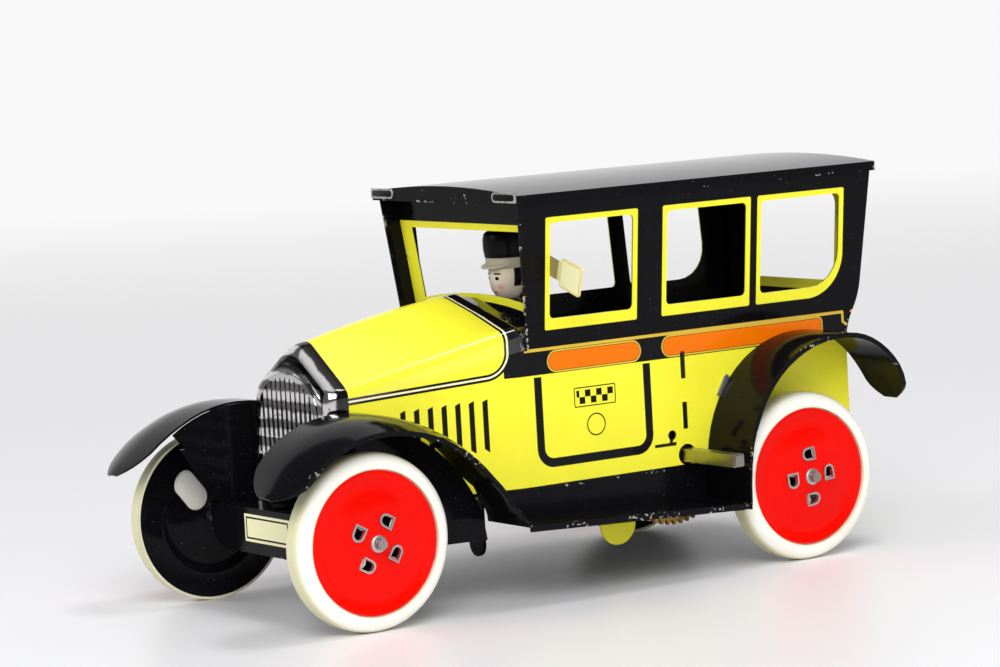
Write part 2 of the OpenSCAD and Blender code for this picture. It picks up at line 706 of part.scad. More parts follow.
// Inner panel that stands on the chassis plate and carries the front fender
apron_back = 18;
apron_toe = 5;
apron_rise = 9;
apron_ahead = 14;
apron_foot = 6;
apron_drop = 3.5;
apron_end = 3;
module front_apron() color(black) {
    path = beside(front_path(0), tin + seat_gap);
    arc = [for (p = path) if (p[0] > front_x - apron_back && p[2] > -38) [p[0], p[1]]];
    front_end = arc[len(arc) - 1];
    along_y(apron_half - tin, apron_half)
        polygon(concat([[arc[0][0], floor_z]], arc,
                       [[front_end[0] - apron_end, front_end[1] - apron_drop],
                        [front_x + apron_ahead, front_end[1] - apron_drop],
                        [front_x + apron_rise, floor_z + apron_toe], [front_x + apron_foot, floor_z + 2 * tin],
                        [valance_x, floor_z]]));
}
module front_apron_left() front_apron();
module front_apron_right() right_hand() front_apron();

// Rear fender: a plain strip from the running board over the wheel to a flared tail
rear_rise = 14;
rear_crown = 5;
rear_drop = 16.5;
rear_tip = 4;
rear_legs = [[10, rear_rise, 3], [90, rear_arch_r * PI / 2, 14], [18, rear_crown, 2], [42, rear_drop, 6],
             [0, rear_tip, 3]];
module rear_fender() {
    path = walk([rear_wall, board_z], 90, rear_legs);
    last = len(path) - 1;
    y0 = body_half + seat_gap;
    cols = [0, 0.25, 0.5, 0.75, 1, 1];
    function tip(i) = max(0, (i - (last - 6)) / 6);
    function pinch(i) = sqrt(1 - pow(min(tip(i), 0.96), 2));
    function row(i, t) = let (
        p = path[i],
        half_w = (fender_out - y0) / 2 * pinch(i),
        fade = min(1, i / 5))
        [for (c = [0 : len(cols) - 1])
            let (fall = c == len(cols) - 1 ? edge_depth(fade * pinch(i)) : t,
                 y = (y0 + fender_out) / 2 + (2 * cols[c] - 1) * half_w - (cols[c] == 1 ? t : 0))
            [p[0] - fall * sin(p[2]), y, p[1] + fall * cos(p[2])]];
    color(black) sheet([for (i = [0 : last]) row(i, tin)], [for (i = [0 : last]) row(i, 0)]);
}
module rear_fender_left() rear_fender();
module rear_fender_right() right_hand() rear_fender();

// Wheels, modelled on the Z axis with the outer face at z = 0 and the car inwards at negative z
wall = 0.6;
flange = 1;
function turn_arc(c, r, a0, a1, steps = 8) =
    [for (i = [0 : steps]) let (a = a0 + (a1 - a0) * i / steps) c + r * [cos(a), sin(a)]];
disc_r = tyre_r - tyre_band;
module tyre() color(cream)
    rotate_extrude()
        polygon(concat([[disc_r, -wall], [disc_r, 0]],
                       turn_arc([tyre_r - shoulder_r, -shoulder_r], shoulder_r, 90, 0),
                       [[tyre_r, -tyre_w], [tyre_r - wall, -tyre_w]],
                       turn_arc([tyre_r - shoulder_r, -shoulder_r], shoulder_r - wall, 0, 90)));
module tab_holes(depth) {
    for (k = [0 : 3])
        rotate(18 + 90 * k) translate([tab_ring_r, 0, -depth]) {
            translate([-tab_hole_w / 2, -tab_hole_l / 2, 0]) cube([tab_hole_w, tab_hole_l * 0.6, 2 * depth]);
            translate([0, tab_hole_l * 0.1, 0]) cylinder(r = tab_hole_w / 2, h = 2 * depth);
        }
}
disc_seat = disc_r + flange;
module disc() color(red)
    difference() {
        rotate_extrude()
            polygon(concat(
                [[axle_r + run_gap, disc_dome - disc_step - wall], [axle_r + run_gap, disc_dome - disc_step],
                 [tab_ring_r + 3, disc_dome - disc_step - 0.7], [disc_r * 0.78, -disc_step - 0.2],
                 [disc_r * 0.84, -disc_step], [disc_r - 0.7, -0.25], [disc_r - seat_gap, -wall],
                 [disc_seat, -wall], [disc_seat, -2 * wall]],
                [[disc_r - 0.9, -wall - 0.35], [disc_r * 0.84, -disc_step - wall],
                 [disc_r * 0.78, -disc_step - 0.2 - wall], [tab_ring_r + 3, disc_dome - disc_step - 0.7 - wall]]));
        tab_holes(3);
    }
back_rim = tyre_r - wall - seat_gap;
module back_plate(turn) color(black)
    rotate(turn) difference() {
        rotate_extrude()
            polygon([[axle_r + run_gap, -tyre_w + 1], [axle_r + run_gap, -tyre_w + 2.4], [axle_r + 1.2, -tyre_w + 2.4],
                     [axle_r + 1.2, -tyre_w + 1 + wall], [back_rim * 0.6, -tyre_w + 1 + wall],
                     [back_rim * 0.76, -tyre_w + wall], [back_rim, -tyre_w + wall], [back_rim, -tyre_w],
                     [back_rim * 0.74, -tyre_w], [back_rim * 0.58, -tyre_w + 1]]);
        translate([back_oval_r - (back_oval_l - back_oval_w), 0, -tyre_w - 1]) {
            cylinder(r = back_oval_w, h = 4);
            translate([0, -back_oval_w, 0]) cube([2 * (back_oval_l - back_oval_w), 2 * back_oval_w, 4]);
            translate([2 * (back_oval_l - back_oval_w), 0, 0]) cylinder(r = back_oval_w, h = 4);
        }
    }
module on_left(x) spun_y(x, axle_z) translate([0, 0, wheel_face]) children();
module on_right(x) right_hand() on_left(x) children();

module tyre_front_left() on_left(front_x) tyre();
module tyre_front_right() on_right(front_x) tyre();
module tyre_rear_left() on_left(back_x) tyre();
module tyre_rear_right() on_right(back_x) tyre();
module disc_front_left() on_left(front_x) disc();
module disc_front_right() on_right(front_x) disc();
module disc_rear_left() on_left(back_x) disc();
module disc_rear_right() on_right(back_x) disc();
module back_front_left() on_left(front_x) back_plate(40);
module back_front_right() on_right(front_x) back_plate(-52);
module back_rear_left() on_left(back_x) back_plate(110);
module back_rear_right() on_right(back_x) back_plate(200);

axle_half = wheel_face + disc_dome - disc_step + axle_stub;
module axle_rod(x) color(steel) {
    bar_y(x, axle_z, axle_r, -axle_half, axle_half);
}
module front_axle() axle_rod(front_x);
module rear_axle() axle_rod(back_x);

// Steering
steer_top = under_z - seat_gap;
ear_drop = 3.2;
ear_len = 4;
ear_toe = 0.7;
rivet_head = 0.7;
module steering_plate() color(steel)
    difference() {
        union() {
            translate([front_x - ear_len, -ear_half - plate_t, steer_top - plate_t])
                cube([ear_len + axle_r + ear_toe, 2 * (ear_half + plate_t), plate_t]);
            translate([front_x, 0, steer_top - plate_t]) cylinder(r = 2 * pivot_r, h = plate_t);
            for (s = [-1, 1])
                translate([front_x - ear_len, s > 0 ? ear_half : -ear_half - plate_t, axle_z - ear_drop])
                    cube([ear_len + axle_r + ear_toe, plate_t, steer_top - axle_z + ear_drop]);
            translate([front_x - lever_reach, -lever_half, steer_top - plate_t])
                cube([lever_reach, 2 * lever_half, plate_t]);
            translate([front_x - lever_reach, -lever_half, thumb_z + lever_half])
                cube([plate_t, 2 * lever_half, steer_top - thumb_z - lever_half]);
            translate([front_x - lever_reach, 0, thumb_z + lever_half]) rotate([0, 90, 0])
                cylinder(r = lever_half, h = plate_t);
        }
        translate([front_x, 0, steer_top - 2 * plate_t]) cylinder(r = pivot_r + run_gap, h = 3 * plate_t);
        bar_y(front_x, axle_z, axle_r + run_gap, -2 * ear_half, 2 * ear_half);
    }
module steering_rivet() color(steel)
    translate([front_x, 0, 0]) {
        low = steer_top - plate_t - seat_gap;
        translate([0, 0, low - rivet_head]) cylinder(r = 2 * pivot_r, h = rivet_head);
        translate([0, 0, low]) cylinder(r = pivot_r, h = floor_z - low);
        translate([0, 0, floor_z]) cylinder(r = 2 * pivot_r, h = rivet_head);
    }
module rear_axle_bracket() color(steel)
    difference() {
        union() {
            translate([back_x - ear_len, -ear_half - plate_t, axle_z - ear_drop])
                cube([2 * ear_len, plate_t, under_z - axle_z + ear_drop]);
            translate([back_x - ear_len, -ear_half, under_z - plate_t]) cube([2 * ear_len, 6, plate_t]);
        }
        bar_y(back_x, axle_z, axle_r + run_gap, -2 * ear_half, 0);
    }

// Motor
module plate_outline() {
    arm(arbor, pillars[0], arm_half);
    arm(arbor, pillars[1], arm_half);
    arm(arbor, middle, arm_half);
    arm(middle, axle, arm_half);
    arm(middle, pillars[2], arm_half);
    arm(axle, pillars[3], arm_half);
    arm(pillars[0], pillars[2], arm_half * 0.8);
    arm(pillars[3], pillars[2], arm_half * 0.8);
    arm(pillars[0], pillars[1], arm_half * 0.8);
}
stop_pin = arbor + [great_tip + 1.5, -7.4];
stop_r = 0.9;
module motor_plate(y0, y1) {
    difference() {
        along_y(y0, y1) union() {
            plate_outline();
            arm(pillars[1], stop_pin, 2.4);
        }
        bar_y(arbor[0], arbor[1], arbor_r + run_gap, y0 - 1, y1 + 1);
        bar_y(middle[0], middle[1], shaft_r + run_gap, y0 - 1, y1 + 1);
        bar_y(axle[0], axle[1], axle_r + run_gap, y0 - 1, y1 + 1);
        bar_y(stop_pin[0], stop_pin[1], stop_r + run_gap, y0 - 1, y1 + 1);
        for (p = pillars) bar_y(p[0], p[1], pillar_r * 0.6 + run_gap, y0 - 1, y1 + 1);
    }
}
shaft_r = 1;
lug_w = 5;
module floor_lug(p, y0, y1) {
    translate([p[0] - lug_w / 2, y0, floor_z]) cube([lug_w, y1 - y0, plate_t]);
}
module motor_plate_left() color(brass) {
    motor_plate(motor_in, motor_out);
    for (k = [1, 3]) floor_lug(pillars[k], motor_out, pit_left + lug_seat - lug_room);
    side_lug(arbor[1] + lug_low, 0);
    side_lug(arbor[1] + lug_high, 0);
}
module motor_plate_right() color(brass) {
    motor_plate(motor_right - plate_t, motor_right);
    for (k = [1, 3]) floor_lug(pillars[k], pit_right - lug_seat, motor_right - plate_t);
}
module motor_pillars() color(steel)
    for (p = pillars) {
        bar_y(p[0], p[1], pillar_r, motor_right, motor_in);
        bar_y(p[0], p[1], pillar_r * 0.6, motor_right - plate_t, motor_out);
    }

// Gears in their planes, from the left plate inwards
great_y = motor_in - 1.2 - gear_t;
ratchet_t = 1;
ratchet_y = great_y - 0.4 - ratchet_t;
wheel_y = ratchet_y - 0.8 - gear_t;
spring_y = wheel_y - 2 - spring_w;
pa = 25;
addendum = 0.8;
dedendum = 1;
function involute(a) = tan(a) * 180 / PI - a;
function gear_outline(n, phase) =
    let (rp = gear_m * n / 2,
         rb = rp * cos(pa),
         radii = [rp - dedendum * gear_m, rp, rp + addendum * gear_m],
         at_pitch = (PI * gear_m / 2 - backlash) / (2 * rp) * 180 / PI,
         spread = [for (r = radii) at_pitch + involute(pa) - involute(acos(min(1, rb / max(r, rb))))])
    [for (k = [0 : n - 1]) let (mid = phase + 360 * k / n)
        for (f = [-3, -2, -1, 1, 2, 3]) let (i = f < 0 ? f + 3 : 3 - f)
            radii[i] * [cos(mid + sign(f) * spread[i]), sin(mid + sign(f) * spread[i])]];
module gear(at, n, phase, bore, y0, y1) {
    difference() {
        along_y(y0, y1) translate(at) polygon(gear_outline(n, phase));
        bar_y(at[0], at[1], bore, y0 - 1, y1 + 1);
    }
}
function bearing(from, to) = atan2(to[1] - from[1], to[0] - from[0]);
function gap_phase(n, from, to) = bearing(from, to) + 180 / n;

hub_r = 3.2;
module great_wheel() color(brass) {
    difference() {
        gear(arbor, great_teeth, gap_phase(great_teeth, arbor, middle), arbor_r + run_gap, great_y, great_y + gear_t);
        for (k = [0 : 4]) let (a = 72 * k + 20)
            bar_y(arbor[0] + 10.6 * cos(a), arbor[1] + 10.6 * sin(a), 3.6, great_y - 1, great_y + gear_t + 1);
    }
    difference() {
        bar_y(arbor[0], arbor[1], hub_r, great_y + gear_t, motor_in - seat_gap);
        bar_y(arbor[0], arbor[1], arbor_r + run_gap, great_y, motor_in + 1);
    }
}
module intermediate_shaft() color(steel)
    bar_y(middle[0], middle[1], shaft_r, motor_right - plate_t, motor_out);
module intermediate_wheel() color(brass)
    difference() {
        gear(middle, wheel_teeth, bearing(middle, axle), shaft_r + run_gap, wheel_y, wheel_y + gear_t);
        for (k = [0 : 3]) let (a = 90 * k + 10)
            bar_y(middle[0] + 6 * cos(a), middle[1] + 6 * sin(a), 2.6, wheel_y - 1, wheel_y + gear_t + 1);
    }
module intermediate_pinion() color(brass)
    gear(middle, pinion_teeth, bearing(middle, arbor), shaft_r + run_gap, great_y - 0.3, great_y + gear_t + 0.3);
module axle_pinion() color(brass)
    gear(axle, axle_teeth, gap_phase(axle_teeth, axle, middle), axle_r + run_gap, wheel_y - 0.3, wheel_y + gear_t + 0.3);

ratchet_r = 5.4;
ratchet_teeth = 12;
module ratchet_wheel() color(steel)
    difference() {
        along_y(ratchet_y, ratchet_y + ratchet_t)
            translate(arbor) polygon([for (k = [0 : ratchet_teeth - 1], i = [0, 1])
                let (a = 360 * (k + (i == 0 ? 0 : 0.9)) / ratchet_teeth, r = i == 0 ? ratchet_r - 1 : ratchet_r)
                r * [cos(a), sin(a)]]);
        bar_y(arbor[0], arbor[1], arbor_r, ratchet_y - 1, ratchet_y + ratchet_t + 1);
    }
click_gap = 0.3;
click_r = 1.3;
module ratchet_click() color(steel)
    along_y(ratchet_y, great_y)
        translate(arbor + [0, -(ratchet_r + click_gap + click_r)]) {
            circle(click_r);
            translate([-click_r, -0.6]) square([6.5, 1.2]);
        }
module winding_arbor() color(steel) {
    bar_y(arbor[0], arbor[1], arbor_r, motor_right - plate_t, motor_out + 0.6);
    half = arbor_square / 2;
    along_y(motor_out + 0.6, arbor_end - 0.6)
        translate(arbor - [half, half]) square(arbor_square);
    along_y(arbor_end - 0.6, arbor_end)
        translate(arbor - [half - 0.3, half - 0.3]) square(arbor_square - 0.6);
}

// Mainspring: one spiral strip from beside the arbor to its outer coil
spring_in = arbor_r + 0.3;
function coil(d, steps) = [for (i = [0 : steps])
    let (a = 360 * spring_turns * i / steps, r = spring_in + d + (spring_r - spring_in - spring_t) * i / steps)
    r * [cos(a), sin(a)]];
module mainspring() color(steel) {
    steps = 20 * spring_turns;
    along_y(spring_y, spring_y + spring_w)
        translate(arbor) polygon(concat(coil(0, steps), backwards(coil(spring_t, steps))));
}

module stop_lever() color(yellow)
    difference() {
        along_y(motor_out + seat_gap, motor_out + seat_gap + tin) {
            arm(stop_pin, stop_pin - [0, stop_reach - stop_half], 2.4);
            translate(stop_pin - [0, stop_reach - stop_half]) circle(stop_half);
        }
        bar_y(stop_pin[0], stop_pin[1], stop_r + run_gap, motor_in, motor_out + 2);
    }
module stop_rivet() color(steel) {
    bar_y(stop_pin[0], stop_pin[1], stop_r, motor_in, motor_out + tin + 2 * seat_gap);
    bar_y(stop_pin[0], stop_pin[1], 1.8 * stop_r, motor_out + tin + 2 * seat_gap, motor_out + tin + 2 * seat_gap + 0.5);
}

// Fittings
body_r = 6.4;
neck_r = 2.6;
module driver_figure() {
    shoulder_z = floor_z + shoulder_h;
    neck_z = shoulder_z + head_r * 1.3;
    head_z = neck_z + head_r * 1.25;
    cap_z = head_z + head_r * 0.45;
    translate([screen_x - driver_back, driver_y, 0]) {
        color(black) rotate_extrude()
            polygon([[0, floor_z], [body_r - tin, floor_z], [body_r, floor_z + shoulder_h * 0.6], [body_r - tin, shoulder_z],
                     [body_r * 0.7, shoulder_z + head_r * 0.7], [neck_r, neck_z], [neck_r, neck_z + head_r * 0.5],
                     [0, neck_z + head_r * 0.5]]);
        color(cream) translate([0, 0, head_z]) sphere(head_r);
        color(black) translate([0, 0, cap_z]) {
            cylinder(r1 = head_r * 1.04, r2 = head_r * 1.16, h = cap_h * 0.8);
            translate([0, 0, cap_h * 0.8]) cylinder(r1 = head_r * 1.16, r2 = head_r * 0.8, h = cap_h * 0.2);
            intersection() {
                translate([head_r * 0.4, 0, 0]) cylinder(r = head_r, h = 2 * tin);
                translate([0, -head_r, -tin]) cube([2 * head_r, 2 * head_r, 4 * tin]);
            }
        }
    }
}
// Flag of the fare meter: its foot lies on the inner face of the left upper side, its neck passes the window's edge
flag_r = 0.6;
flag_lap = 2.6;
module meter_flag() color(cream) {
    root_z = belt_z + flag_foot;
    near = flag_reach - flag_w;
    along_x(window_front - tin, window_front) translate([half_at(root_z), root_z]) rotate(-flag_droop) {
        polygon(rounded(near, -flag_h / 2, flag_reach, flag_h / 2, [flag_r, flag_r, flag_r, flag_r], 3));
        translate([-3 * tin, -flag_neck / 2]) square([near + 4 * tin, flag_neck]);
    }
    intersection() {
        flared_slab(-tin);
        along_y(0, 2 * body_half) translate([window_front - tin, root_z - flag_neck / 2])
            square([flag_lap, flag_neck]);
    }
}

chassis_plate();
front_valance();
running_board_left();
running_board_right();
body_side_left();
body_side_right();
upper_side_left();
upper_side_right();
windscreen_panel();
rear_panel();
roof();
bonnet();
radiator();
front_apron_left();
front_apron_right();
front_fender_left();
front_fender_right();
rear_fender_left();
rear_fender_right();
tyre_front_left();
tyre_front_right();
tyre_rear_left();
tyre_rear_right();
disc_front_left();
disc_front_right();
disc_rear_left();
disc_rear_right();
back_front_left();
back_front_right();
back_rear_left();
back_rear_right();
front_axle();
rear_axle();
steering_plate();
steering_rivet();
rear_axle_bracket();
motor_plate_left();
motor_plate_right();
motor_pillars();
mainspring();
winding_arbor();
ratchet_wheel();
ratchet_click();
great_wheel();
intermediate_shaft();
intermediate_wheel();
intermediate_pinion();
axle_pinion();
stop_lever();
stop_rivet();
driver_figure();
meter_flag();
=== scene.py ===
"""Dresses the clockwork tin taxi: printed sheet, lacquer, plating, driver, tabs and the studio."""

import json
import logging
import math
from dataclasses import dataclass, field
from enum import Enum
from functools import reduce
from typing import Optional, Sequence, Union

import bmesh
import bpy
from mathutils import Matrix, Vector

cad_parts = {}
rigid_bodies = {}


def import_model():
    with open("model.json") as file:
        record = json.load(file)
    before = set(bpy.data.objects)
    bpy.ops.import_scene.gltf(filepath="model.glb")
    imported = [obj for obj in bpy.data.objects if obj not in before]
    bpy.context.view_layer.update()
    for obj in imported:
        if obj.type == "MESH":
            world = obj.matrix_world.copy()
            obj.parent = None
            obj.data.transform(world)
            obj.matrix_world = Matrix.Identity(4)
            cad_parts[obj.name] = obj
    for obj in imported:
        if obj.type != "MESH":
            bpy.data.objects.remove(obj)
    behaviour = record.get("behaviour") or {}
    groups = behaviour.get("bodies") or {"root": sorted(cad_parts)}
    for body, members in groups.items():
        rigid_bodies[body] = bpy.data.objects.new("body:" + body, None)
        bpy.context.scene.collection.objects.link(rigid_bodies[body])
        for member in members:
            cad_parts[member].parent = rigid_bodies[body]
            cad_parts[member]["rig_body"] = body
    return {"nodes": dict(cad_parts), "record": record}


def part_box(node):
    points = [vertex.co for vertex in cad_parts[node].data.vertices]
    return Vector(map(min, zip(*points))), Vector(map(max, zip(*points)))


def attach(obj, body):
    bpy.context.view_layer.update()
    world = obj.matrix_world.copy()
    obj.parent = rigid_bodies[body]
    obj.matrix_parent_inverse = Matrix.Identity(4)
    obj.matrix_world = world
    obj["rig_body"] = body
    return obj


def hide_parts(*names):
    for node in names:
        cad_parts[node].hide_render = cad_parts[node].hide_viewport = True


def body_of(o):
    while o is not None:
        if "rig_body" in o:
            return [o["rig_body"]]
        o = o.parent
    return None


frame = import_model()

LOG = logging.getLogger("taxi")
# Lengths are in millimetres, which MM turns into the frame's metres, and angles are in degrees.
MM = 0.001
AXLE_X = 61.0
AXLE_Z = 20.0
DISCS_STOPPED = (42.0, -13.0)
Rgb = tuple[float, float, float]
Point = tuple[float, float]
Panel = tuple[Point, Point, float]
Term = Union["Value", float]


def chart(red: int, green: int, blue: int) -> Rgb:
    """Turns a colour from a paint chart into the linear one that a shader takes.

    Args:
        red: Red, 0 to 255.
        green: Green, 0 to 255.
        blue: Blue, 0 to 255.

    Returns:
        The linear colour.
    """
    parts = [value / 255 for value in (red, green, blue)]
    return tuple(part / 12.92 if part <= 0.04045 else ((part + 0.055) / 1.055) ** 2.4 for part in parts)


class Ink(Enum):
    """The inks, lacquers and bare metals of the toy, and the colour of the tyres' painted shade."""

    LEMON = chart(254, 247, 60)
    ORANGE = chart(253, 122, 2)
    GOLD = chart(226, 190, 66)
    CREAM = chart(252, 248, 200)
    TYRE = chart(253, 252, 241)
    BLACK = chart(13, 12, 15)
    SCARLET = chart(242, 10, 0)
    BARE_TIN = chart(196, 195, 192)
    STEEL = chart(176, 175, 172)
    NICKEL = chart(214, 212, 210)
    BLUED = chart(84, 90, 104)
    BRASS = chart(212, 176, 96)
    RUST = chart(112, 70, 38)
    # Colour of the painted shade on the tyres' tread and inner edge.
    OLIVE = chart(206, 200, 120)
    SKIN = chart(244, 228, 200)
    COAT = chart(52, 50, 54)
    VISOR = chart(196, 188, 166)


class Value:
    """A number that changes over a surface: one socket, with operators that add Math nodes."""

    def __init__(self, paint: "Graph", socket: bpy.types.NodeSocket) -> None:
        """Keeps the socket and the node tree that it belongs to."""
        self.paint = paint
        self.socket = socket

    def __add__(self, other: Term) -> "Value":
        """Adds."""
        return self.paint.math("ADD", self, other)

    def __radd__(self, other: Term) -> "Value":
        """Adds, from the right."""
        return self.paint.math("ADD", other, self)

    def __sub__(self, other: Term) -> "Value":
        """Subtracts."""
        return self.paint.math("SUBTRACT", self, other)

    def __rsub__(self, other: Term) -> "Value":
        """Subtracts from the left-hand term."""
        return self.paint.math("SUBTRACT", other, self)

    def __mul__(self, other: Term) -> "Value":
        """Multiplies."""
        return self.paint.math("MULTIPLY", self, other)

    def __rmul__(self, other: Term) -> "Value":
        """Multiplies, from the right."""
        return self.paint.math("MULTIPLY", other, self)

    def __truediv__(self, other: Term) -> "Value":
        """Divides."""
        return self.paint.math("DIVIDE", self, other)

    def __rtruediv__(self, other: Term) -> "Value":
        """Divides the left-hand term."""
        return self.paint.math("DIVIDE", other, self)

    def __neg__(self) -> "Value":
        """Turns the sign."""
        return self.paint.math("MULTIPLY", self, -1.0)

    def __abs__(self) -> "Value":
        """Drops the sign."""
        return self.paint.math("ABSOLUTE", self)

    def most(self, other: Term) -> "Value":
        """The larger of the two."""
        return self.paint.math("MAXIMUM", self, other)

    def least(self, other: Term) -> "Value":
        """The smaller of the two."""
        return self.paint.math("MINIMUM", self, other)

    def fraction(self) -> "Value":
        """What is left after the whole number."""
        return self.paint.math("FRACT", self)

    def root(self) -> "Value":
        """The square root."""
        return self.paint.math("SQRT", self)

    def above(self, limit: float, soft: float = 0.08) -> "Value":
        """1 where the value is over a limit, with a soft step.

        Args:
            limit: Middle of the step.
            soft: Width of the step.

        Returns:
            A mask from 0 to 1.
        """
        return self.paint.math("MULTIPLY_ADD", self, 1 / soft, 0.5 - limit / soft, clamp=True)

    def below(self, limit: float, soft: float = 0.08) -> "Value":
        """1 where the value is under a limit, with a soft step.

        Args:
            limit: Middle of the step.
            soft: Width of the step.

        Returns:
            A mask from 0 to 1.
        """
        return self.paint.math("MULTIPLY_ADD", self, -1 / soft, 0.5 + limit / soft, clamp=True)

    def between(self, low: float, high: float, soft: float = 0.08) -> "Value":
        """1 between two limits, with soft steps.

        Args:
            low: Lower limit.
            high: Upper limit.
            soft: Width of both steps.

        Returns:
            A mask from 0 to 1.
        """
        return self.above(low, soft) * self.below(high, soft)


class Graph:
    """A node tree in the making, of a material or of the world."""

    def __init__(self, tree: bpy.types.NodeTree) -> None:
        """Empties the tree and keeps it.

        Args:
            tree: The node tree.
        """
        self.tree = tree
        self.tree.nodes.clear()

    def add(
        self, kind: str, settings: Optional[dict] = None, sockets: Optional[dict] = None
    ) -> bpy.types.Node:
        """Adds a node.

        Args:
            kind: The node's type.
            settings: Properties, which are set first.
            sockets: Inputs by name or number, each a value or a link.

        Returns:
            The node.
        """
        node = self.tree.nodes.new(kind)
        for name, value in (settings or {}).items():
            setattr(node, name, value)
        for name, value in (sockets or {}).items():
            self.feed(node.inputs[name], value)
        return node

    def feed(self, socket: bpy.types.NodeSocket, value: object) -> None:
        """Links a socket, or sets its value.

        Args:
            socket: The input.
            value: A Value, a socket, an Ink, a number or a tuple.
        """
        if isinstance(value, Value):
            value = value.socket
        if isinstance(value, Ink):
            value = value.value
        if isinstance(value, bpy.types.NodeSocket):
            self.tree.links.new(value, socket)
        elif socket.type == "RGBA":
            socket.default_value = (*value[:3], 1.0)
        else:
            socket.default_value = value

    def math(self, operation: str, *terms: Term, clamp: bool = False) -> Value:
        """Adds a Math node.

        Args:
            operation: The node's operation.
            terms: Its inputs.
            clamp: Whether the result stays from 0 to 1.

        Returns:
            The result.
        """
        settings = {"operation": operation, "use_clamp": clamp}
        node = self.add("ShaderNodeMath", settings, dict(enumerate(terms)))
        return Value(self, node.outputs[0])

    def mix(self, amount: Term, under: object, over: object) -> bpy.types.NodeSocket:
        """Lays one colour over another.

        Args:
            amount: How much of the upper colour shows.
            under: The lower colour.
            over: The upper colour.

        Returns:
            The colour socket.
        """
        node = self.add("ShaderNodeMix", {"data_type": "RGBA"}, {0: amount, 6: under, 7: over})
        return node.outputs[2]

    def shown_rays(self) -> Value:
        """1 for the rays that show a background: from the camera, off gloss and through glass."""
        rays = self.add("ShaderNodeLightPath")
        seen = Value(self, rays.outputs["Is Camera Ray"])
        for name in ("Is Glossy Ray", "Is Transmission Ray"):
            seen = seen.most(Value(self, rays.outputs[name]))
        return seen


class Paint(Graph):
    """One material in the making: its node tree, its place in millimetres and its shader."""

    def __init__(self, name: str) -> None:
        """Starts a material.

        Args:
            name: The material's name.
        """
        self.material = bpy.data.materials.new(name)
        self.material.use_nodes = True
        super().__init__(self.material.node_tree)
        self.shader = self.add("ShaderNodeBsdfPrincipled")
        self.output = self.add("ShaderNodeOutputMaterial", sockets={"Surface": self.shader.outputs[0]})
        here = self.add("ShaderNodeTexCoord").outputs["Object"]
        scaled = self.add("ShaderNodeVectorMath", {"operation": "SCALE"}, {0: here, "Scale": 1 / MM})
        self.place = scaled.outputs[0]
        split = self.add("ShaderNodeSeparateXYZ", sockets={0: self.place})
        self.x, self.y, self.z = (Value(self, socket) for socket in split.outputs)

    def noise(self, scale: float, detail: float = 3.0, stretch: Optional[tuple] = None) -> Value:
        """Cloudy variation.

        Args:
            scale: Clouds per millimetre.
            detail: Octaves.
            stretch: Factors on the axes, for streaks.

        Returns:
            A value round one half.
        """
        place = self.place
        if stretch:
            factors = {0: place, 1: stretch}
            place = self.add("ShaderNodeVectorMath", {"operation": "MULTIPLY"}, factors).outputs[0]
        sockets = {"Vector": place, "Scale": scale, "Detail": detail}
        node = self.add("ShaderNodeTexNoise", sockets=sockets)
        return Value(self, node.outputs[0])

    def specks(self, scale: float, size: float) -> Value:
        """Scattered dots.

        Args:
            scale: Cells per millimetre.
            size: Radius of a dot, in cells.

        Returns:
            A mask of the dots.
        """
        node = self.add("ShaderNodeTexVoronoi", sockets={"Vector": self.place, "Scale": scale})
        return Value(self, node.outputs["Distance"]).below(size, size * 0.4)

    def corner(self, over_u: Value, over_v: Value, radius: float) -> Value:
        """Distance from a rounded corner, less than 0 inside.

        Args:
            over_u: How far past the corner's centre, in the first coordinate.
            over_v: The same in the second coordinate.
            radius: Corner radius.

        Returns:
            The distance in millimetres.
        """
        past_u = over_u.most(0.0)
        past_v = over_v.most(0.0)
        return (past_u * past_u + past_v * past_v).root() + over_u.most(over_v).least(0.0) - radius

    def rounded(self, u: Value, v: Value, low: Point, high: Point, radius: float) -> Value:
        """Distance from the edge of a rounded rectangle, less than 0 inside.

        Args:
            u: First coordinate.
            v: Second coordinate.
            low: Lower corner.
            high: Upper corner.
            radius: Corner radius.

        Returns:
            The distance in millimetres.
        """
        over_u = abs(u - (low[0] + high[0]) / 2) - ((high[0] - low[0]) / 2 - radius)
        over_v = abs(v - (low[1] + high[1]) / 2) - ((high[1] - low[1]) / 2 - radius)
        return self.corner(over_u, over_v, radius)

    def nearest(self, u: Value, v: Value, panels: Sequence[Panel]) -> Value:
        """Distance from the nearest of several rounded rectangles, less than 0 inside one.

        Args:
            u: First coordinate.
            v: Second coordinate.
            panels: Lower corner, upper corner and corner radius of each.

        Returns:
            The distance in millimetres.
        """
        return reduce(Value.least, [self.rounded(u, v, *panel) for panel in panels])

    def bands(self, edge: Value, under: object, inks: Sequence[tuple[float, Ink]]) -> object:
        """Lays inks one over another, each as far out as its distance from an edge.

        Args:
            edge: Distance outside the edge.
            under: The colour so far.
            inks: How far each ink reaches, and the ink, from the widest to the narrowest.

        Returns:
            The colour socket.
        """
        for reach, ink in inks:
            under = self.mix(edge.below(reach), under, ink)
        return under

    def bump(self, height: Value, depth: float) -> None:
        """Roughens the surface.

        Args:
            height: The relief, 0 to 1.
            depth: Its depth in millimetres.
        """
        sockets = {"Strength": 1.0, "Distance": depth * MM, "Height": height}
        node = self.add("ShaderNodeBump", sockets=sockets)
        self.feed(self.shader.inputs["Normal"], node.outputs[0])

    def set(self, **sockets: object) -> bpy.types.Material:
        """Sets the shader's sockets, named with underscores.

        Args:
            sockets: The values or links.

        Returns:
            The finished material.
        """
        for name, value in sockets.items():
            self.feed(self.shader.inputs[name.replace("_", " ").title().replace("Ior", "IOR")], value)
        return self.material


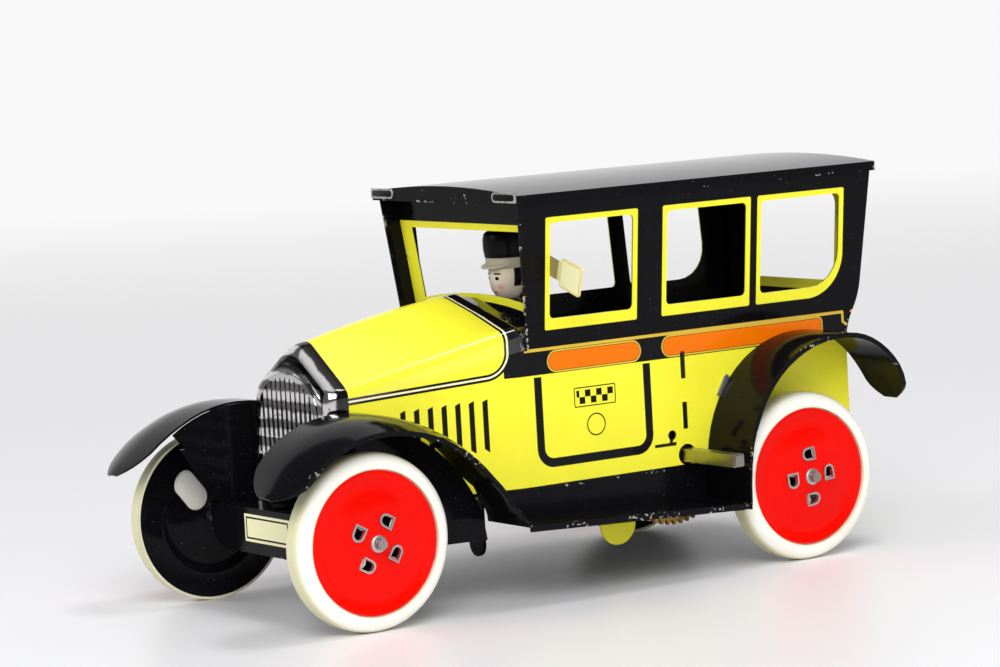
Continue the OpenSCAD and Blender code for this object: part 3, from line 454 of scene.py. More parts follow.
@dataclass(frozen=True)
class Lacquer:
    """How lacquered tin takes light and wears: gloss, scratches, dust, and chips down to the tin."""

    gloss: float = 0.09
    shine: float = 0.08
    coat: float = 0.04
    dust: float = 0.03
    chip: float = 0.30
    orange_peel: float = 0.008

    def cover(
        self, paint: Paint, colour: object, edge: Optional[Value] = None, bare: Optional[Value] = None
    ) -> bpy.types.Material:
        """Finishes a lacquered sheet.

        Args:
            paint: The material in the making.
            colour: The printed colour.
            edge: 1 along edges that chip, 0 elsewhere.
            bare: 1 on faces that were left unpainted.

        Returns:
            The material.
        """
        cloud = paint.noise(0.055, 4.0)
        fine = paint.noise(1.1, 6.0)
        scratch = paint.noise(2.2, 4.0, (0.35, 2.4, 1.7)).above(0.68, 0.05)
        worn = fine.above(0.92, 0.03)
        if edge is not None:
            patch = paint.noise(0.17, 2.0).above(0.53, 0.12)
            worn = (fine + edge * patch * self.chip).above(0.89, 0.04)
        if bare is not None:
            worn = worn.most(bare)
        toned = paint.mix(cloud.above(0.55, 0.5) * 0.10, colour, Ink.BLACK)
        dirt = paint.specks(0.42, 0.045) * self.dust * 8 + scratch * self.dust
        dusty = paint.mix(dirt, toned, Ink.BARE_TIN)
        tin = paint.mix(paint.noise(0.5, 5.0).above(0.6, 0.2) * 0.5, Ink.BARE_TIN, Ink.RUST)
        rough = self.gloss + cloud * 0.06 + scratch * 0.10 + worn * 0.22
        paint.bump(paint.noise(0.35, 2.0) - worn * 0.6, self.orange_peel)
        return paint.set(
            base_color=paint.mix(worn, dusty, tin),
            roughness=rough,
            metallic=worn * 0.9,
            specular_ior_level=self.shine,
            coat_weight=(1.0 - worn) * self.coat,
            coat_roughness=0.06,
        )


@dataclass(frozen=True)
class BodyMarks:
    """Places of the print on the body, in millimetres."""

    belt: float = 56.5
    band_low: float = 50.7
    sill: float = 25.1
    half: float = 25.7
    lean: float = math.tan(math.radians(6.1))
    screen_lean: float = 0.0892
    taper_from: float = 12.0
    taper: float = 0.2138
    panel_back: float = 15.2
    panel_corner: float = 4.5
    coach_front: Point = (52.7, 49.0)
    coach_slope: float = 0.0676
    coach_inks: tuple[tuple[float, Ink], ...] = (
        (1.6, Ink.BLACK), (1.02, Ink.CREAM), (0.56, Ink.BLACK), (0.0, Ink.LEMON),
    )
    door: tuple[float, float, float] = (-25.2, 7.9, 29.0)
    door_top: float = 70.0
    door_corner: float = 4.6
    door_line: float = 2.1
    door_line_top: float = 50.2
    louvres: tuple[float, float, int] = (19.8, 3.28, 7)
    louvre_skew: float = 2.4
    louvre_top: tuple[float, float, float] = (46.5, 21.0, 0.035)
    louvre_foot: float = 34.2
    checks: tuple[float, float, float, float] = (-14.2, -3.8, 42.7, 45.9)
    checks_border: float = 0.6
    ring: tuple[float, float, float] = (-9.0, 37.6, 2.5)

    def bonnet_edge(self, paint: Paint) -> Value:
        """Distance outside the yellow bonnet panel, with its round rear corner.

        Args:
            paint: The material in the making.

        Returns:
            The distance in millimetres, less than 0 on the panel.
        """
        radius = self.panel_corner
        line = (self.coach_front[0] - paint.x) * self.coach_slope + (self.coach_front[1] + 0.8)
        over_x = (self.panel_back + radius) - paint.x
        over_z = line + radius - paint.z
        return paint.corner(over_x, over_z, radius)

    def coach_lines(self, paint: Paint, under: object) -> object:
        """Lays the double coach line and the yellow bonnet panel.

        Args:
            paint: The material in the making.
            under: The colour so far.

        Returns:
            The colour socket.
        """
        return paint.bands(self.bonnet_edge(paint), under, self.coach_inks)

    def screen_x(self, paint: Paint) -> Value:
        """Place along the car, with the windscreen's lean taken out.

        Args:
            paint: The material in the making.

        Returns:
            The place in millimetres.
        """
        return paint.x - (paint.z - self.belt) * self.screen_lean

    def outside(self, paint: Paint) -> Value:
        """1 on the outer skin of a body side, 0 on its inner skin.

        Args:
            paint: The material in the making.

        Returns:
            The mask.
        """
        rise = (paint.z - self.belt).most(0.0) * self.lean
        taper = (paint.x - self.taper_from).most(0.0) * self.taper
        return (abs(paint.y) - rise + taper).above(self.half - 0.25, 0.1)


@dataclass(frozen=True)
class SidePrint:
    """Print of the lower body sides: door, belt panels, louvres, coach lines and sill."""

    marks: BodyMarks = BodyMarks()
    lacquer: Lacquer = Lacquer(dust=0.015, shine=0.14)
    band_front: float = 15.6
    belts: tuple[Panel, ...] = (
        ((-22.35, 51.35), (3.45, 55.5), 2.05),
        ((-72.0, 51.4), (-29.3, 55.6), 2.08),
        ((-76.9, 51.4), (-45.0, 55.6), 0.9),
    )
    belt_inks: tuple[tuple[float, Ink], ...] = (
        (0.62, Ink.BLACK), (0.5, Ink.GOLD), (0.12, Ink.BLACK), (0.0, Ink.ORANGE),
    )
    belt_line: tuple[float, float, float] = (56.12, -83.6, 10.2)
    hook_x: Point = (-84.0, -83.3)
    hook_z: float = 54.2
    tail: Point = (0.8, 52.0)
    slits: tuple[Panel, ...] = (
        ((-36.2, 33.0), (-33.4, 40.4), 1.2),
        ((-36.2, 45.0), (-33.4, 52.4), 1.2),
    )

    def louvre_mask(self, paint: Paint) -> Value:
        """Mask of the slanted bonnet louvres.

        Args:
            paint: The material in the making.

        Returns:
            The mask.
        """
        start, pitch, count = self.marks.louvres
        high, first, fall = self.marks.louvre_top
        along = (paint.x - start) / pitch
        step = along.fraction()
        skew = step * self.marks.louvre_skew
        top = high - skew * 0.55 - (paint.x - first) * fall
        foot = self.marks.louvre_foot + skew * 0.9
        bar = step.between(0.02, 0.41, 0.03) * along.between(0.0, float(count), 0.02)
        return bar * (paint.z - foot).above(0.0) * (top - paint.z).above(0.0)

    def belt_panels(self, paint: Paint, under: object) -> object:
        """Lays the two orange belt panels in their gold outlines.

        Args:
            paint: The material in the making.
            under: The colour so far.

        Returns:
            The colour socket.
        """
        edge = paint.nearest(paint.x, paint.z, self.belts)
        return paint.bands(edge, under, self.belt_inks)

    def door_marks(self, paint: Paint, under: object) -> object:
        """Lays the door outline, the checks and the plain ring.

        Args:
            paint: The material in the making.
            under: The colour so far.

        Returns:
            The colour socket.
        """
        marks = self.marks
        rear, front, low = marks.door
        door = paint.rounded(paint.x, paint.z, (rear, low), (front, marks.door_top), marks.door_corner)
        line = door.between(-marks.door_line, 0.0) * paint.z.below(marks.door_line_top)
        under = paint.mix(line, under, Ink.BLACK)
        x0, x1, z0, z1 = marks.checks
        size = (z1 - z0) / 2
        across = ((paint.x - x0) / (2 * size)).fraction().above(0.5, 0.03)
        down = ((paint.z - z0) / (2 * size)).fraction().above(0.5, 0.03)
        checks = abs(across - down) * paint.x.between(x0, x1) * paint.z.between(z0, z1)
        under = paint.mix(checks, under, Ink.BLACK)
        border = marks.checks_border
        start, end = (x0 - border, z0 - border), (x1 + border, z1 + border)
        frame_edge = abs(paint.rounded(paint.x, paint.z, start, end, 0.3))
        under = paint.mix(frame_edge.below(0.13), under, Ink.BLACK)
        ring_x, ring_z, radius = marks.ring
        along = paint.x - ring_x
        up = paint.z - ring_z
        ring = abs((along * along + up * up).root() - radius)
        return paint.mix(ring.below(0.16), under, Ink.BLACK)

    def make(self) -> bpy.types.Material:
        """Builds the material."""
        paint = Paint("body_side_print")
        marks = self.marks
        band = paint.z.above(marks.band_low) * paint.x.below(self.band_front)
        colour = paint.mix(band, Ink.LEMON, Ink.BLACK)
        colour = marks.coach_lines(paint, colour)
        colour = self.belt_panels(paint, colour)
        colour = self.door_marks(paint, colour)
        colour = paint.mix(self.louvre_mask(paint), colour, Ink.BLACK)
        low, rear, front = self.belt_line
        belt = paint.z.above(low) * paint.x.between(rear, front)
        hook = paint.x.between(*self.hook_x) * paint.z.above(self.hook_z)
        slope, end = self.tail
        slant = abs((paint.x - rear) * slope - (paint.z - self.hook_z)).below(0.4)
        tail = slant * paint.x.below(self.hook_x[1]) * paint.z.above(end)
        colour = paint.mix(belt.most(hook).most(tail), colour, Ink.GOLD)
        colour = paint.mix(paint.z.below(marks.sill), colour, Ink.BLACK)
        # Painted shade: the inner skin is painted black for the body's dark inside.
        colour = paint.mix(marks.outside(paint), Ink.BLACK, colour)
        slits = paint.nearest(paint.x, paint.z, self.slits).below(0.2, 0.5)
        edge = (slits * 0.6).most(paint.z.below(25.4, 0.6) * 0.6)
        return self.lacquer.cover(paint, colour, edge)


@dataclass(frozen=True)
class UpperPrint:
    """Print of the upper sides: black, with a yellow frame round each window."""

    windows: tuple[tuple[float, float], ...] = ((-21.8, 4.4), (-55.0, -29.0), (-83.3, -57.0))
    low: float = 60.8
    high: float = 86.9
    corner: float = 0.5
    sweep: float = 10.5
    beyond: float = 40.0
    belt_line: tuple[float, float, float] = (56.85, -83.9, 10.2)
    jamb: float = 8.4
    marks: BodyMarks = BodyMarks()
    lacquer: Lacquer = Lacquer(dust=0.03, chip=0.40)

    def make(self) -> bpy.types.Material:
        """Builds the material."""
        paint = Paint("upper_side_print")
        panels = [((rear, self.low), (front, self.high), self.corner) for rear, front in self.windows]
        square = paint.rounded(paint.x, paint.z, *panels[2])
        rear, front = self.windows[2]
        past = (front + self.beyond, self.high + self.beyond)
        swept = paint.rounded(paint.x, paint.z, (rear, self.low), past, self.sweep)
        frames = paint.nearest(paint.x, paint.z, panels[:2]).least(square.most(swept))
        colour = paint.mix(frames.below(0.0), Ink.BLACK, Ink.LEMON)
        high, rear, front = self.belt_line
        belt = paint.z.below(high) * paint.x.between(rear, front)
        colour = paint.mix(belt, colour, Ink.GOLD)
        # Painted shade: the inner skin is painted black for the body's dark inside.
        colour = paint.mix(self.marks.outside(paint), Ink.BLACK, colour)
        jamb = self.marks.screen_x(paint).above(self.jamb, 1.2)
        edge = jamb.most(paint.z.above(91.4, 0.6) * 0.6)
        return self.lacquer.cover(paint, colour, edge)


@dataclass(frozen=True)
class ScreenPrint:
    """Print of the windscreen panel: black, with a yellow frame round the opening."""

    front: float = 4.9
    top: float = 85.2
    strip_low: Point = (66.8, 0.0047)
    marks: BodyMarks = BodyMarks()
    lacquer: Lacquer = Lacquer(dust=0.03)

    def make(self) -> bpy.types.Material:
        """Builds the material."""
        paint = Paint("windscreen_print")
        face = self.marks.screen_x(paint).above(self.front - 0.2, 0.1)
        middle, bow = self.strip_low
        above_strip = (paint.z + paint.y * paint.y * bow).above(middle)
        colour = paint.mix(above_strip * paint.z.below(self.top) * face, Ink.BLACK, Ink.LEMON)
        rise = (paint.z - self.marks.belt) * self.marks.lean
        edge = (abs(paint.y) - rise).above(self.marks.half - 1.4, 0.6)
        return self.lacquer.cover(paint, colour, edge)


@dataclass(frozen=True)
class BonnetPrint:
    """Print of the bonnet: a yellow panel in a coach line, with a black cowl behind it."""

    front: float = 52.7
    marks: BodyMarks = BodyMarks()
    lacquer: Lacquer = Lacquer(gloss=0.08, dust=0.015, shine=0.9)

    def make(self) -> bpy.types.Material:
        """Builds the material."""
        paint = Paint("bonnet_print")
        colour = self.marks.coach_lines(paint, Ink.BLACK)
        edge = paint.x.above(self.front - 0.5, 0.5).most(paint.x.below(11.4, 0.6))
        return self.lacquer.cover(paint, colour, edge)


@dataclass(frozen=True)
class RearPrint:
    """Print of the rear panel: yellow below the belt, black above it, a yellow window frame."""

    marks: BodyMarks = BodyMarks()
    lacquer: Lacquer = Lacquer(dust=0.02)
    boot: Panel = ((-18.0, 29.0), (18.0, 47.0), 4.0)
    window: Panel = ((-18.6, 61.0), (18.6, 86.9), 5.0)
    belt_line: Point = (56.2, 56.8)
    inside: tuple[float, float, float] = (-83.7, 24.6, 0.104)

    def make(self) -> bpy.types.Material:
        """Builds the material."""
        paint = Paint("rear_panel_print")
        colour = paint.mix(paint.z.above(self.marks.band_low), Ink.LEMON, Ink.BLACK)
        boot = paint.rounded(paint.y, paint.z, *self.boot)
        colour = paint.mix(abs(boot).below(0.5), colour, Ink.BLACK)
        window = paint.rounded(paint.y, paint.z, *self.window)
        colour = paint.mix(window.below(0.0), colour, Ink.LEMON)
        colour = paint.mix(paint.z.between(*self.belt_line), colour, Ink.GOLD)
        colour = paint.mix(paint.z.below(self.marks.sill), colour, Ink.BLACK)
        # Painted shade: the inner face above the belt is painted black for the body's dark inside.
        foot_x, foot_z, lean = self.inside
        inner = paint.x + (paint.z - foot_z).most(0.0) * lean
        colour = paint.mix(inner.above(foot_x, 0.4) * paint.z.above(62.0, 1.0), colour, Ink.BLACK)
        edge = abs(paint.y).above(25.0, 0.8) * paint.z.below(57.0)
        return self.lacquer.cover(paint, colour, edge)


@dataclass(frozen=True)
class PlatePrint:
    """Black valance with a bare cream plate that has a black line inside its edge."""

    plate: Panel = ((-10.0, 16.7), (10.0, 23.1), 0.2)
    plate_line: Point = (-1.05, -0.62)
    face: float = 65.7
    lacquer: Lacquer = Lacquer(chip=0.34)

    def make(self) -> bpy.types.Material:
        """Builds the material."""
        paint = Paint("valance_print")
        plate = paint.rounded(paint.y, paint.z, *self.plate)
        face = paint.x.above(self.face, 0.1)
        colour = paint.mix(plate.below(0.0) * face, Ink.BLACK, Ink.CREAM)
        colour = paint.mix(plate.between(*self.plate_line) * face, colour, Ink.BLACK)
        edge = paint.z.below(14.6, 0.8).most(abs(paint.y).above(25.0, 0.8))
        return self.lacquer.cover(paint, colour, edge)


class Rim(Enum):
    """Where a plain lacquered piece chips first."""

    NONE = "none"
    FENDER = "fender"
    BOARD = "board"
    ROOF = "roof"
    APRON = "apron"
    CHASSIS = "chassis"


@dataclass(frozen=True)
class PlainCoat:
    """One plain lacquer, chipped along the rim that the piece has."""

    name: str
    ink: Ink
    rim: Rim = Rim.NONE
    lacquer: Lacquer = Lacquer()

    def rim_mask(self, paint: Paint) -> Optional[Value]:
        """Mask of the rim that chips.

        Args:
            paint: The material in the making.

        Returns:
            The mask, or None for a piece that chips nowhere.
        """
        wide = abs(paint.y)
        if self.rim is Rim.FENDER:
            tip = paint.x.above(84.5, 2.0) * 0.6
            far_side = paint.y.below(-40.5, 3.0) * 0.7
            return wide.above(41.9, 0.6).most(tip).most(far_side)
        if self.rim is Rim.BOARD:
            return wide.above(41.6, 0.6)
        if self.rim is Rim.ROOF:
            front = paint.x.above(13.0, 0.4) * 0.7
            return paint.z.below(91.0, 0.6).most(front).most(paint.x.below(-90.8, 0.8))
        if self.rim is Rim.APRON:
            return paint.x.above(76.0, 3.0) * 0.7
        if self.rim is Rim.CHASSIS:
            return paint.x.below(-85.4, 0.8).most(wide.above(25.3, 0.6))
        return None

    def make(self) -> bpy.types.Material:
        """Builds the material."""
        paint = Paint(self.name)
        return self.lacquer.cover(paint, self.ink, self.rim_mask(paint))


@dataclass(frozen=True)
class WheelCoat:
    """Lacquer of a wheel piece, laid out in rings round its axle."""

    name: str
    ink: Ink
    lacquer: Lacquer = Lacquer(dust=0.012)
    hub_line: Point = (39.08, 0.105)
    web_line: Point = (39.73, 0.182)
    rim_line: Point = (35.0, 0.19)

    def ring(self, paint: Paint) -> Value:
        """Distance from the axle in millimetres.

        Args:
            paint: The material in the making.

        Returns:
            The distance.
        """
        across = abs(paint.x) - AXLE_X
        up = paint.z - AXLE_Z
        return (across * across + up * up).root()

    def inner_face(self, paint: Paint, ring: Value) -> Value:
        """1 on the inner face of the pressed disc, which was left bare.

        Args:
            paint: The material in the making.
            ring: Distance from the axle.

        Returns:
            The mask.
        """
        hub = self.hub_line[0] - ring * self.hub_line[1]
        web = self.web_line[0] - ring * self.web_line[1]
        rim = self.rim_line[0] + ring * self.rim_line[1]
        return (abs(paint.y) - hub.least(web).most(rim)).below(0.0, 0.12)

    def make(self) -> bpy.types.Material:
        """Builds the material."""
        paint = Paint(self.name)
        ring = self.ring(paint)
        if self.ink is Ink.TYRE:
            stain = paint.noise(0.12, 4.0).above(0.6, 0.3) * 0.14
            colour = paint.mix(stain * ring.above(18.6, 1.5), self.ink, Ink.GOLD)
            # Painted shade: the tread and the inner edge next to the disc are tinted darker olive.
            colour = paint.mix(ring.above(19.55, 0.5) * 0.55, colour, Ink.OLIVE)
            colour = paint.mix(ring.below(16.7, 0.4) * 0.4, colour, Ink.OLIVE)
            return self.lacquer.cover(paint, colour, ring.above(19.7, 0.4) * 0.6)
        hub = ring.below(1.9, 0.6).most(ring.between(3.8, 7.0, 0.5) * 0.5)
        return self.lacquer.cover(paint, self.ink, hub, self.inner_face(paint, ring))


@dataclass(frozen=True)
class Metal:
    """Bare, plated or stamped metal, tarnished and brushed, and painted black past a set half width as
    painted shade where the ends sit in the body's slits.
    """

    name: str
    ink: Ink
    rough: float = 0.22
    tarnish: float = 0.35
    tarnish_ink: Ink = Ink.RUST
    brush: tuple[float, float, float] = (0.3, 2.5, 0.3)
    slot_shade_past: float = 100.0

    def make(self) -> bpy.types.Material:
        """Builds the material."""
        paint = Paint(self.name)
        cloud = paint.noise(0.16, 5.0)
        streak = paint.noise(1.6, 3.0, self.brush)
        stain = cloud.above(0.6, 0.25) * self.tarnish
        colour = paint.mix(stain, paint.mix(streak * 0.25, self.ink, Ink.BLACK), self.tarnish_ink)
        # Painted shade: past this half width the ends are painted black so the slits they pass through
        # look dark.
        painted_slot_shade = abs(paint.y).above(self.slot_shade_past, 0.1)
        colour = paint.mix(painted_slot_shade, colour, Ink.BLACK)
        paint.bump(streak, 0.008)
        return paint.set(
            base_color=colour,
            roughness=self.rough + streak * 0.14 + stain * 0.3,
            metallic=(1.0 - stain * 0.4) * (1.0 - painted_slot_shade),
        )


@dataclass(frozen=True)
class Plating:
    """Nickel of the radiator: a painted dark reflection along the shell against the bonnet, painted
    shade in the grille's hollow, freckled with age.
    """

    plate_x: float = 58.0
    shell_x: float = 55.4
    half: float = 14.6
    band: float = 4.4

    def make(self) -> bpy.types.Material:
        """Builds the material."""
        paint = Paint("radiator_plating")
        ripple = paint.noise(0.35, 2.0)
        face = paint.x.above(self.plate_x - 0.6, 0.1) * abs(paint.y).below(self.half, 0.2)
        # Painted shade: the recessed grille face is painted near black.
        painted_hollow_shade = face * paint.x.below(self.plate_x + 0.3, 0.2)
        stripe = abs(((paint.z + ripple * 1.6) / self.band).fraction() - 0.5).above(0.24, 0.12)
        # Painted reflection: the shell's collar next to the bonnet is painted black for the dark
        # surroundings it mirrors.
        collar = (paint.x + ripple * 1.2).below(self.shell_x + 0.6, 0.5)
        freckle = paint.noise(0.9, 6.0).above(0.66, 0.06) * 0.5
        colour = paint.mix(painted_hollow_shade * 0.9, Ink.NICKEL, Ink.BLACK)
        colour = paint.mix(stripe * face * 0.8, colour, Ink.BLACK)
        colour = paint.mix(collar * 0.92, colour, Ink.BLACK)
        colour = paint.mix(freckle, colour, Ink.BLACK)
        paint.bump(paint.noise(0.35, 3.0), 0.02)
        return paint.set(
            base_color=colour,
            roughness=0.05 + ripple * 0.08 + freckle * 0.3,
            metallic=1.0 - freckle * 0.4,
        )


@dataclass(frozen=True)
class FlagCoat:
    """Bare cream meter flag with a thin gold border, its root darkened as painted shade at the bend."""

    root: Point = (27.7, 75.6)
    droop: float = 17.0
    reach: float = 12.2
    width: float = 8.0
    height: float = 6.9
    lacquer: Lacquer = Lacquer(dust=0.01)

    def make(self) -> bpy.types.Material:
        """Builds the material."""
        paint = Paint("flag_print")
        turn = math.radians(self.droop)
        out = paint.y - self.root[0]
        up = paint.z - self.root[1]
        along = out * math.cos(turn) - up * math.sin(turn)
        rise = up * math.cos(turn) + out * math.sin(turn)
        low = (self.reach - self.width, -self.height / 2)
        rim = paint.rounded(along, rise, low, (self.reach, self.height / 2), 0.6)
        colour = paint.mix(rim.above(-0.5, 0.2) * 0.5, Ink.CREAM, Ink.GOLD)
        # Painted shade: the root of the flag, by its bend, is darkened toward black.
        return self.lacquer.cover(paint, paint.mix(along.below(3.2, 0.3) * 0.6, colour, Ink.BLACK))


class Solid:
    """A mesh in the making, shaped by bmesh operators, in millimetres and with angles in radians."""

    merge: float = 1e-4
    sharp: float = 0.6
    crease: float = math.radians(38)

    def __init__(self) -> None:
        """Starts with an empty mesh."""
        self.mesh = bmesh.new()

    def lathe(self, profile: Sequence[Point], steps: int = 48) -> "Solid":
        """Spins a profile of radius and height about the vertical.

        Args:
            profile: Points from the lower end to the upper one.
            steps: Steps of the turn.

        Returns:
            This solid.
        """
        verts = [self.mesh.verts.new((radius, 0.0, height)) for radius, height in profile]
        edges = [self.mesh.edges.new(pair) for pair in zip(verts, verts[1:])]
        bmesh.ops.spin(
            self.mesh, geom=verts + edges, cent=(0, 0, 0), axis=(0, 0, 1), dvec=(0, 0, 0),
            angle=2 * math.pi, steps=steps, use_merge=True,
        )
        return self.close()

    def plate(self, outline: Sequence[Point], thickness: float) -> "Solid":
        """Extrudes a flat outline upwards.

        Args:
            outline: Corners, in order.
            thickness: Height of the plate.

        Returns:
            This solid.
        """
        face = self.mesh.faces.new([self.mesh.verts.new((u, v, 0.0)) for u, v in outline])
        grown = bmesh.ops.extrude_face_region(self.mesh, geom=[face])
        moved = [item for item in grown["geom"] if isinstance(item, bmesh.types.BMVert)]
        bmesh.ops.translate(self.mesh, verts=moved, vec=(0, 0, thickness))
        return self.close()

    def close(self) -> "Solid":
        """Merges doubles and turns the faces outwards."""
        bmesh.ops.remove_doubles(self.mesh, verts=self.mesh.verts, dist=self.merge)
        bmesh.ops.recalc_face_normals(self.mesh, faces=self.mesh.faces)
        return self

    def soften(self, width: float, segments: int = 2) -> "Solid":
        """Rounds the sharp edges.

        Args:
            width: Width of the rounding.
            segments: Its steps.

        Returns:
            This solid.
        """
        folds = [edge for edge in self.mesh.edges if edge.is_manifold]
        sharp = [edge for edge in folds if edge.calc_face_angle() > self.sharp]
        bmesh.ops.bevel(
            self.mesh, geom=sharp, offset=width, offset_type="OFFSET", affect="EDGES", segments=segments,
            profile=0.5, material=-1, clamp_overlap=True,
        )
        return self

    def move(self, matrix: Matrix) -> "Solid":
        """Moves the whole mesh."""
        bmesh.ops.transform(self.mesh, matrix=matrix, verts=self.mesh.verts)
        return self

    def join(self, other: "Solid") -> "Solid":
        """Takes another solid's mesh into this one."""
        spare = bpy.data.meshes.new("spare")
        other.mesh.to_mesh(spare)
        self.mesh.from_mesh(spare)
        bpy.data.meshes.remove(spare)
        other.mesh.free()
        return self

    def piece(self, name: str, material: bpy.types.Material, body: str, slot: str) -> bpy.types.Object:
        """Makes the object, at the origin, riding on a body.

        Args:
            name: The piece's name.
            material: Its finish.
            body: The body that carries it.
            slot: The record's material slot; not used.

        Returns:
            The object.
        """
        bmesh.ops.scale(self.mesh, vec=(MM, MM, MM), verts=self.mesh.verts)
        for face in self.mesh.faces:
            face.smooth = True
        for edge in self.mesh.edges:
            edge.smooth = edge.is_manifold and edge.calc_face_angle(0.0) < self.crease
        data = bpy.data.meshes.new(name)
        self.mesh.to_mesh(data)
        self.mesh.free()
        data.materials.append(material)
        item = bpy.data.objects.new(name, data)
        bpy.context.scene.collection.objects.link(item)
        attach(item, body)
        LOG.info("%s rides on %s", name, body)
        return item


@dataclass(frozen=True)
class Pressings:
    """Smooth copies of the pressed sheets, which stand for the faceted solids."""

    starts: tuple[str, ...] = (
        "front_fender", "rear_fender", "front_apron", "running_board", "bonnet", "radiator", "roof",
        "tyre", "disc", "back_",
    )
    merge: float = 0.002
    board: tuple[float, float, float] = (20.0, 2.3, 0.043)
    lip: tuple[float, float] = (14.4, 1.2)
    foot: tuple[float, float, float] = (24.0, 35.0, 0.62)

    def lift(self, solid: Solid, verts: list, matrix: Matrix) -> None:
        """Moves some of a copy's corners."""
        bmesh.ops.transform(solid.mesh, matrix=matrix, verts=verts)

    def shape(self, name: str, solid: Solid) -> None:
        """Turns the discs to where they stopped, lifts the boards' fronts and squeezes the fender feet.

        Args:
            name: The node's name.
            solid: Its copy, in millimetres.
        """
        verts = list(solid.mesh.verts)
        if name.startswith("disc"):
            front = "front" in name
            turn = DISCS_STOPPED[0 if front else 1]
            axle = Matrix.Translation((AXLE_X if front else -AXLE_X, 0.0, AXLE_Z))
            self.lift(solid, verts, axle @ Matrix.Rotation(math.radians(turn), 4, "Y") @ axle.inverted())
        if name.startswith("running_board"):
            top, rise, slope = self.board
            low = [vert for vert in verts if vert.co.z < self.lip[0]]
            self.lift(solid, low, Matrix.Translation((0.0, 0.0, self.lip[1])))
            tread = [vert for vert in verts if vert.co.z < top]
            shear = Matrix(((1, 0, 0, 0), (0, 1, 0, 0), (slope, 0, 1, rise), (0, 0, 0, 1)))
            self.lift(solid, tread, shear)
        if name.startswith("front_fender"):
            top, front, squeeze = self.foot
            foot = [vert for vert in verts if vert.co.z < top and vert.co.x < front]
            pivot = Matrix.Translation((0.0, 0.0, top))
            self.lift(solid, foot, pivot @ Matrix.Diagonal((1, 1, squeeze, 1)) @ pivot.inverted())

    def skin(self, name: str, node: bpy.types.Object, slot: str) -> bpy.types.Object:
        """Copies one node with its doubles merged and its bends smooth.

        Args:
            name: The node's name.
            node: Its object.
            slot: The record's material slot.

        Returns:
            The piece.
        """
        solid = Solid()
        solid.mesh.from_mesh(node.data)
        bmesh.ops.scale(solid.mesh, vec=(1 / MM,) * 3, verts=solid.mesh.verts)
        bmesh.ops.remove_doubles(solid.mesh, verts=solid.mesh.verts, dist=self.merge)
        self.shape(name, solid)
        item = solid.piece(f"{name}_skin", node.data.materials[0], body_of(node)[0], slot)
        shade = item.modifiers.new("even_shade", "WEIGHTED_NORMAL")
        shade.keep_sharp = True
        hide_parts(name)
        return item

    def build(self, nodes: dict[str, bpy.types.Object], slots: dict[str, str]) -> list[bpy.types.Object]:
        """Copies every pressed sheet.

        Args:
            nodes: The frame's nodes.
            slots: The material slot of each node.

        Returns:
            The pieces.
        """
        chosen = sorted(name for name in nodes if name.startswith(self.starts))
        return [self.skin(name, nodes[name], slots[name]) for name in chosen]


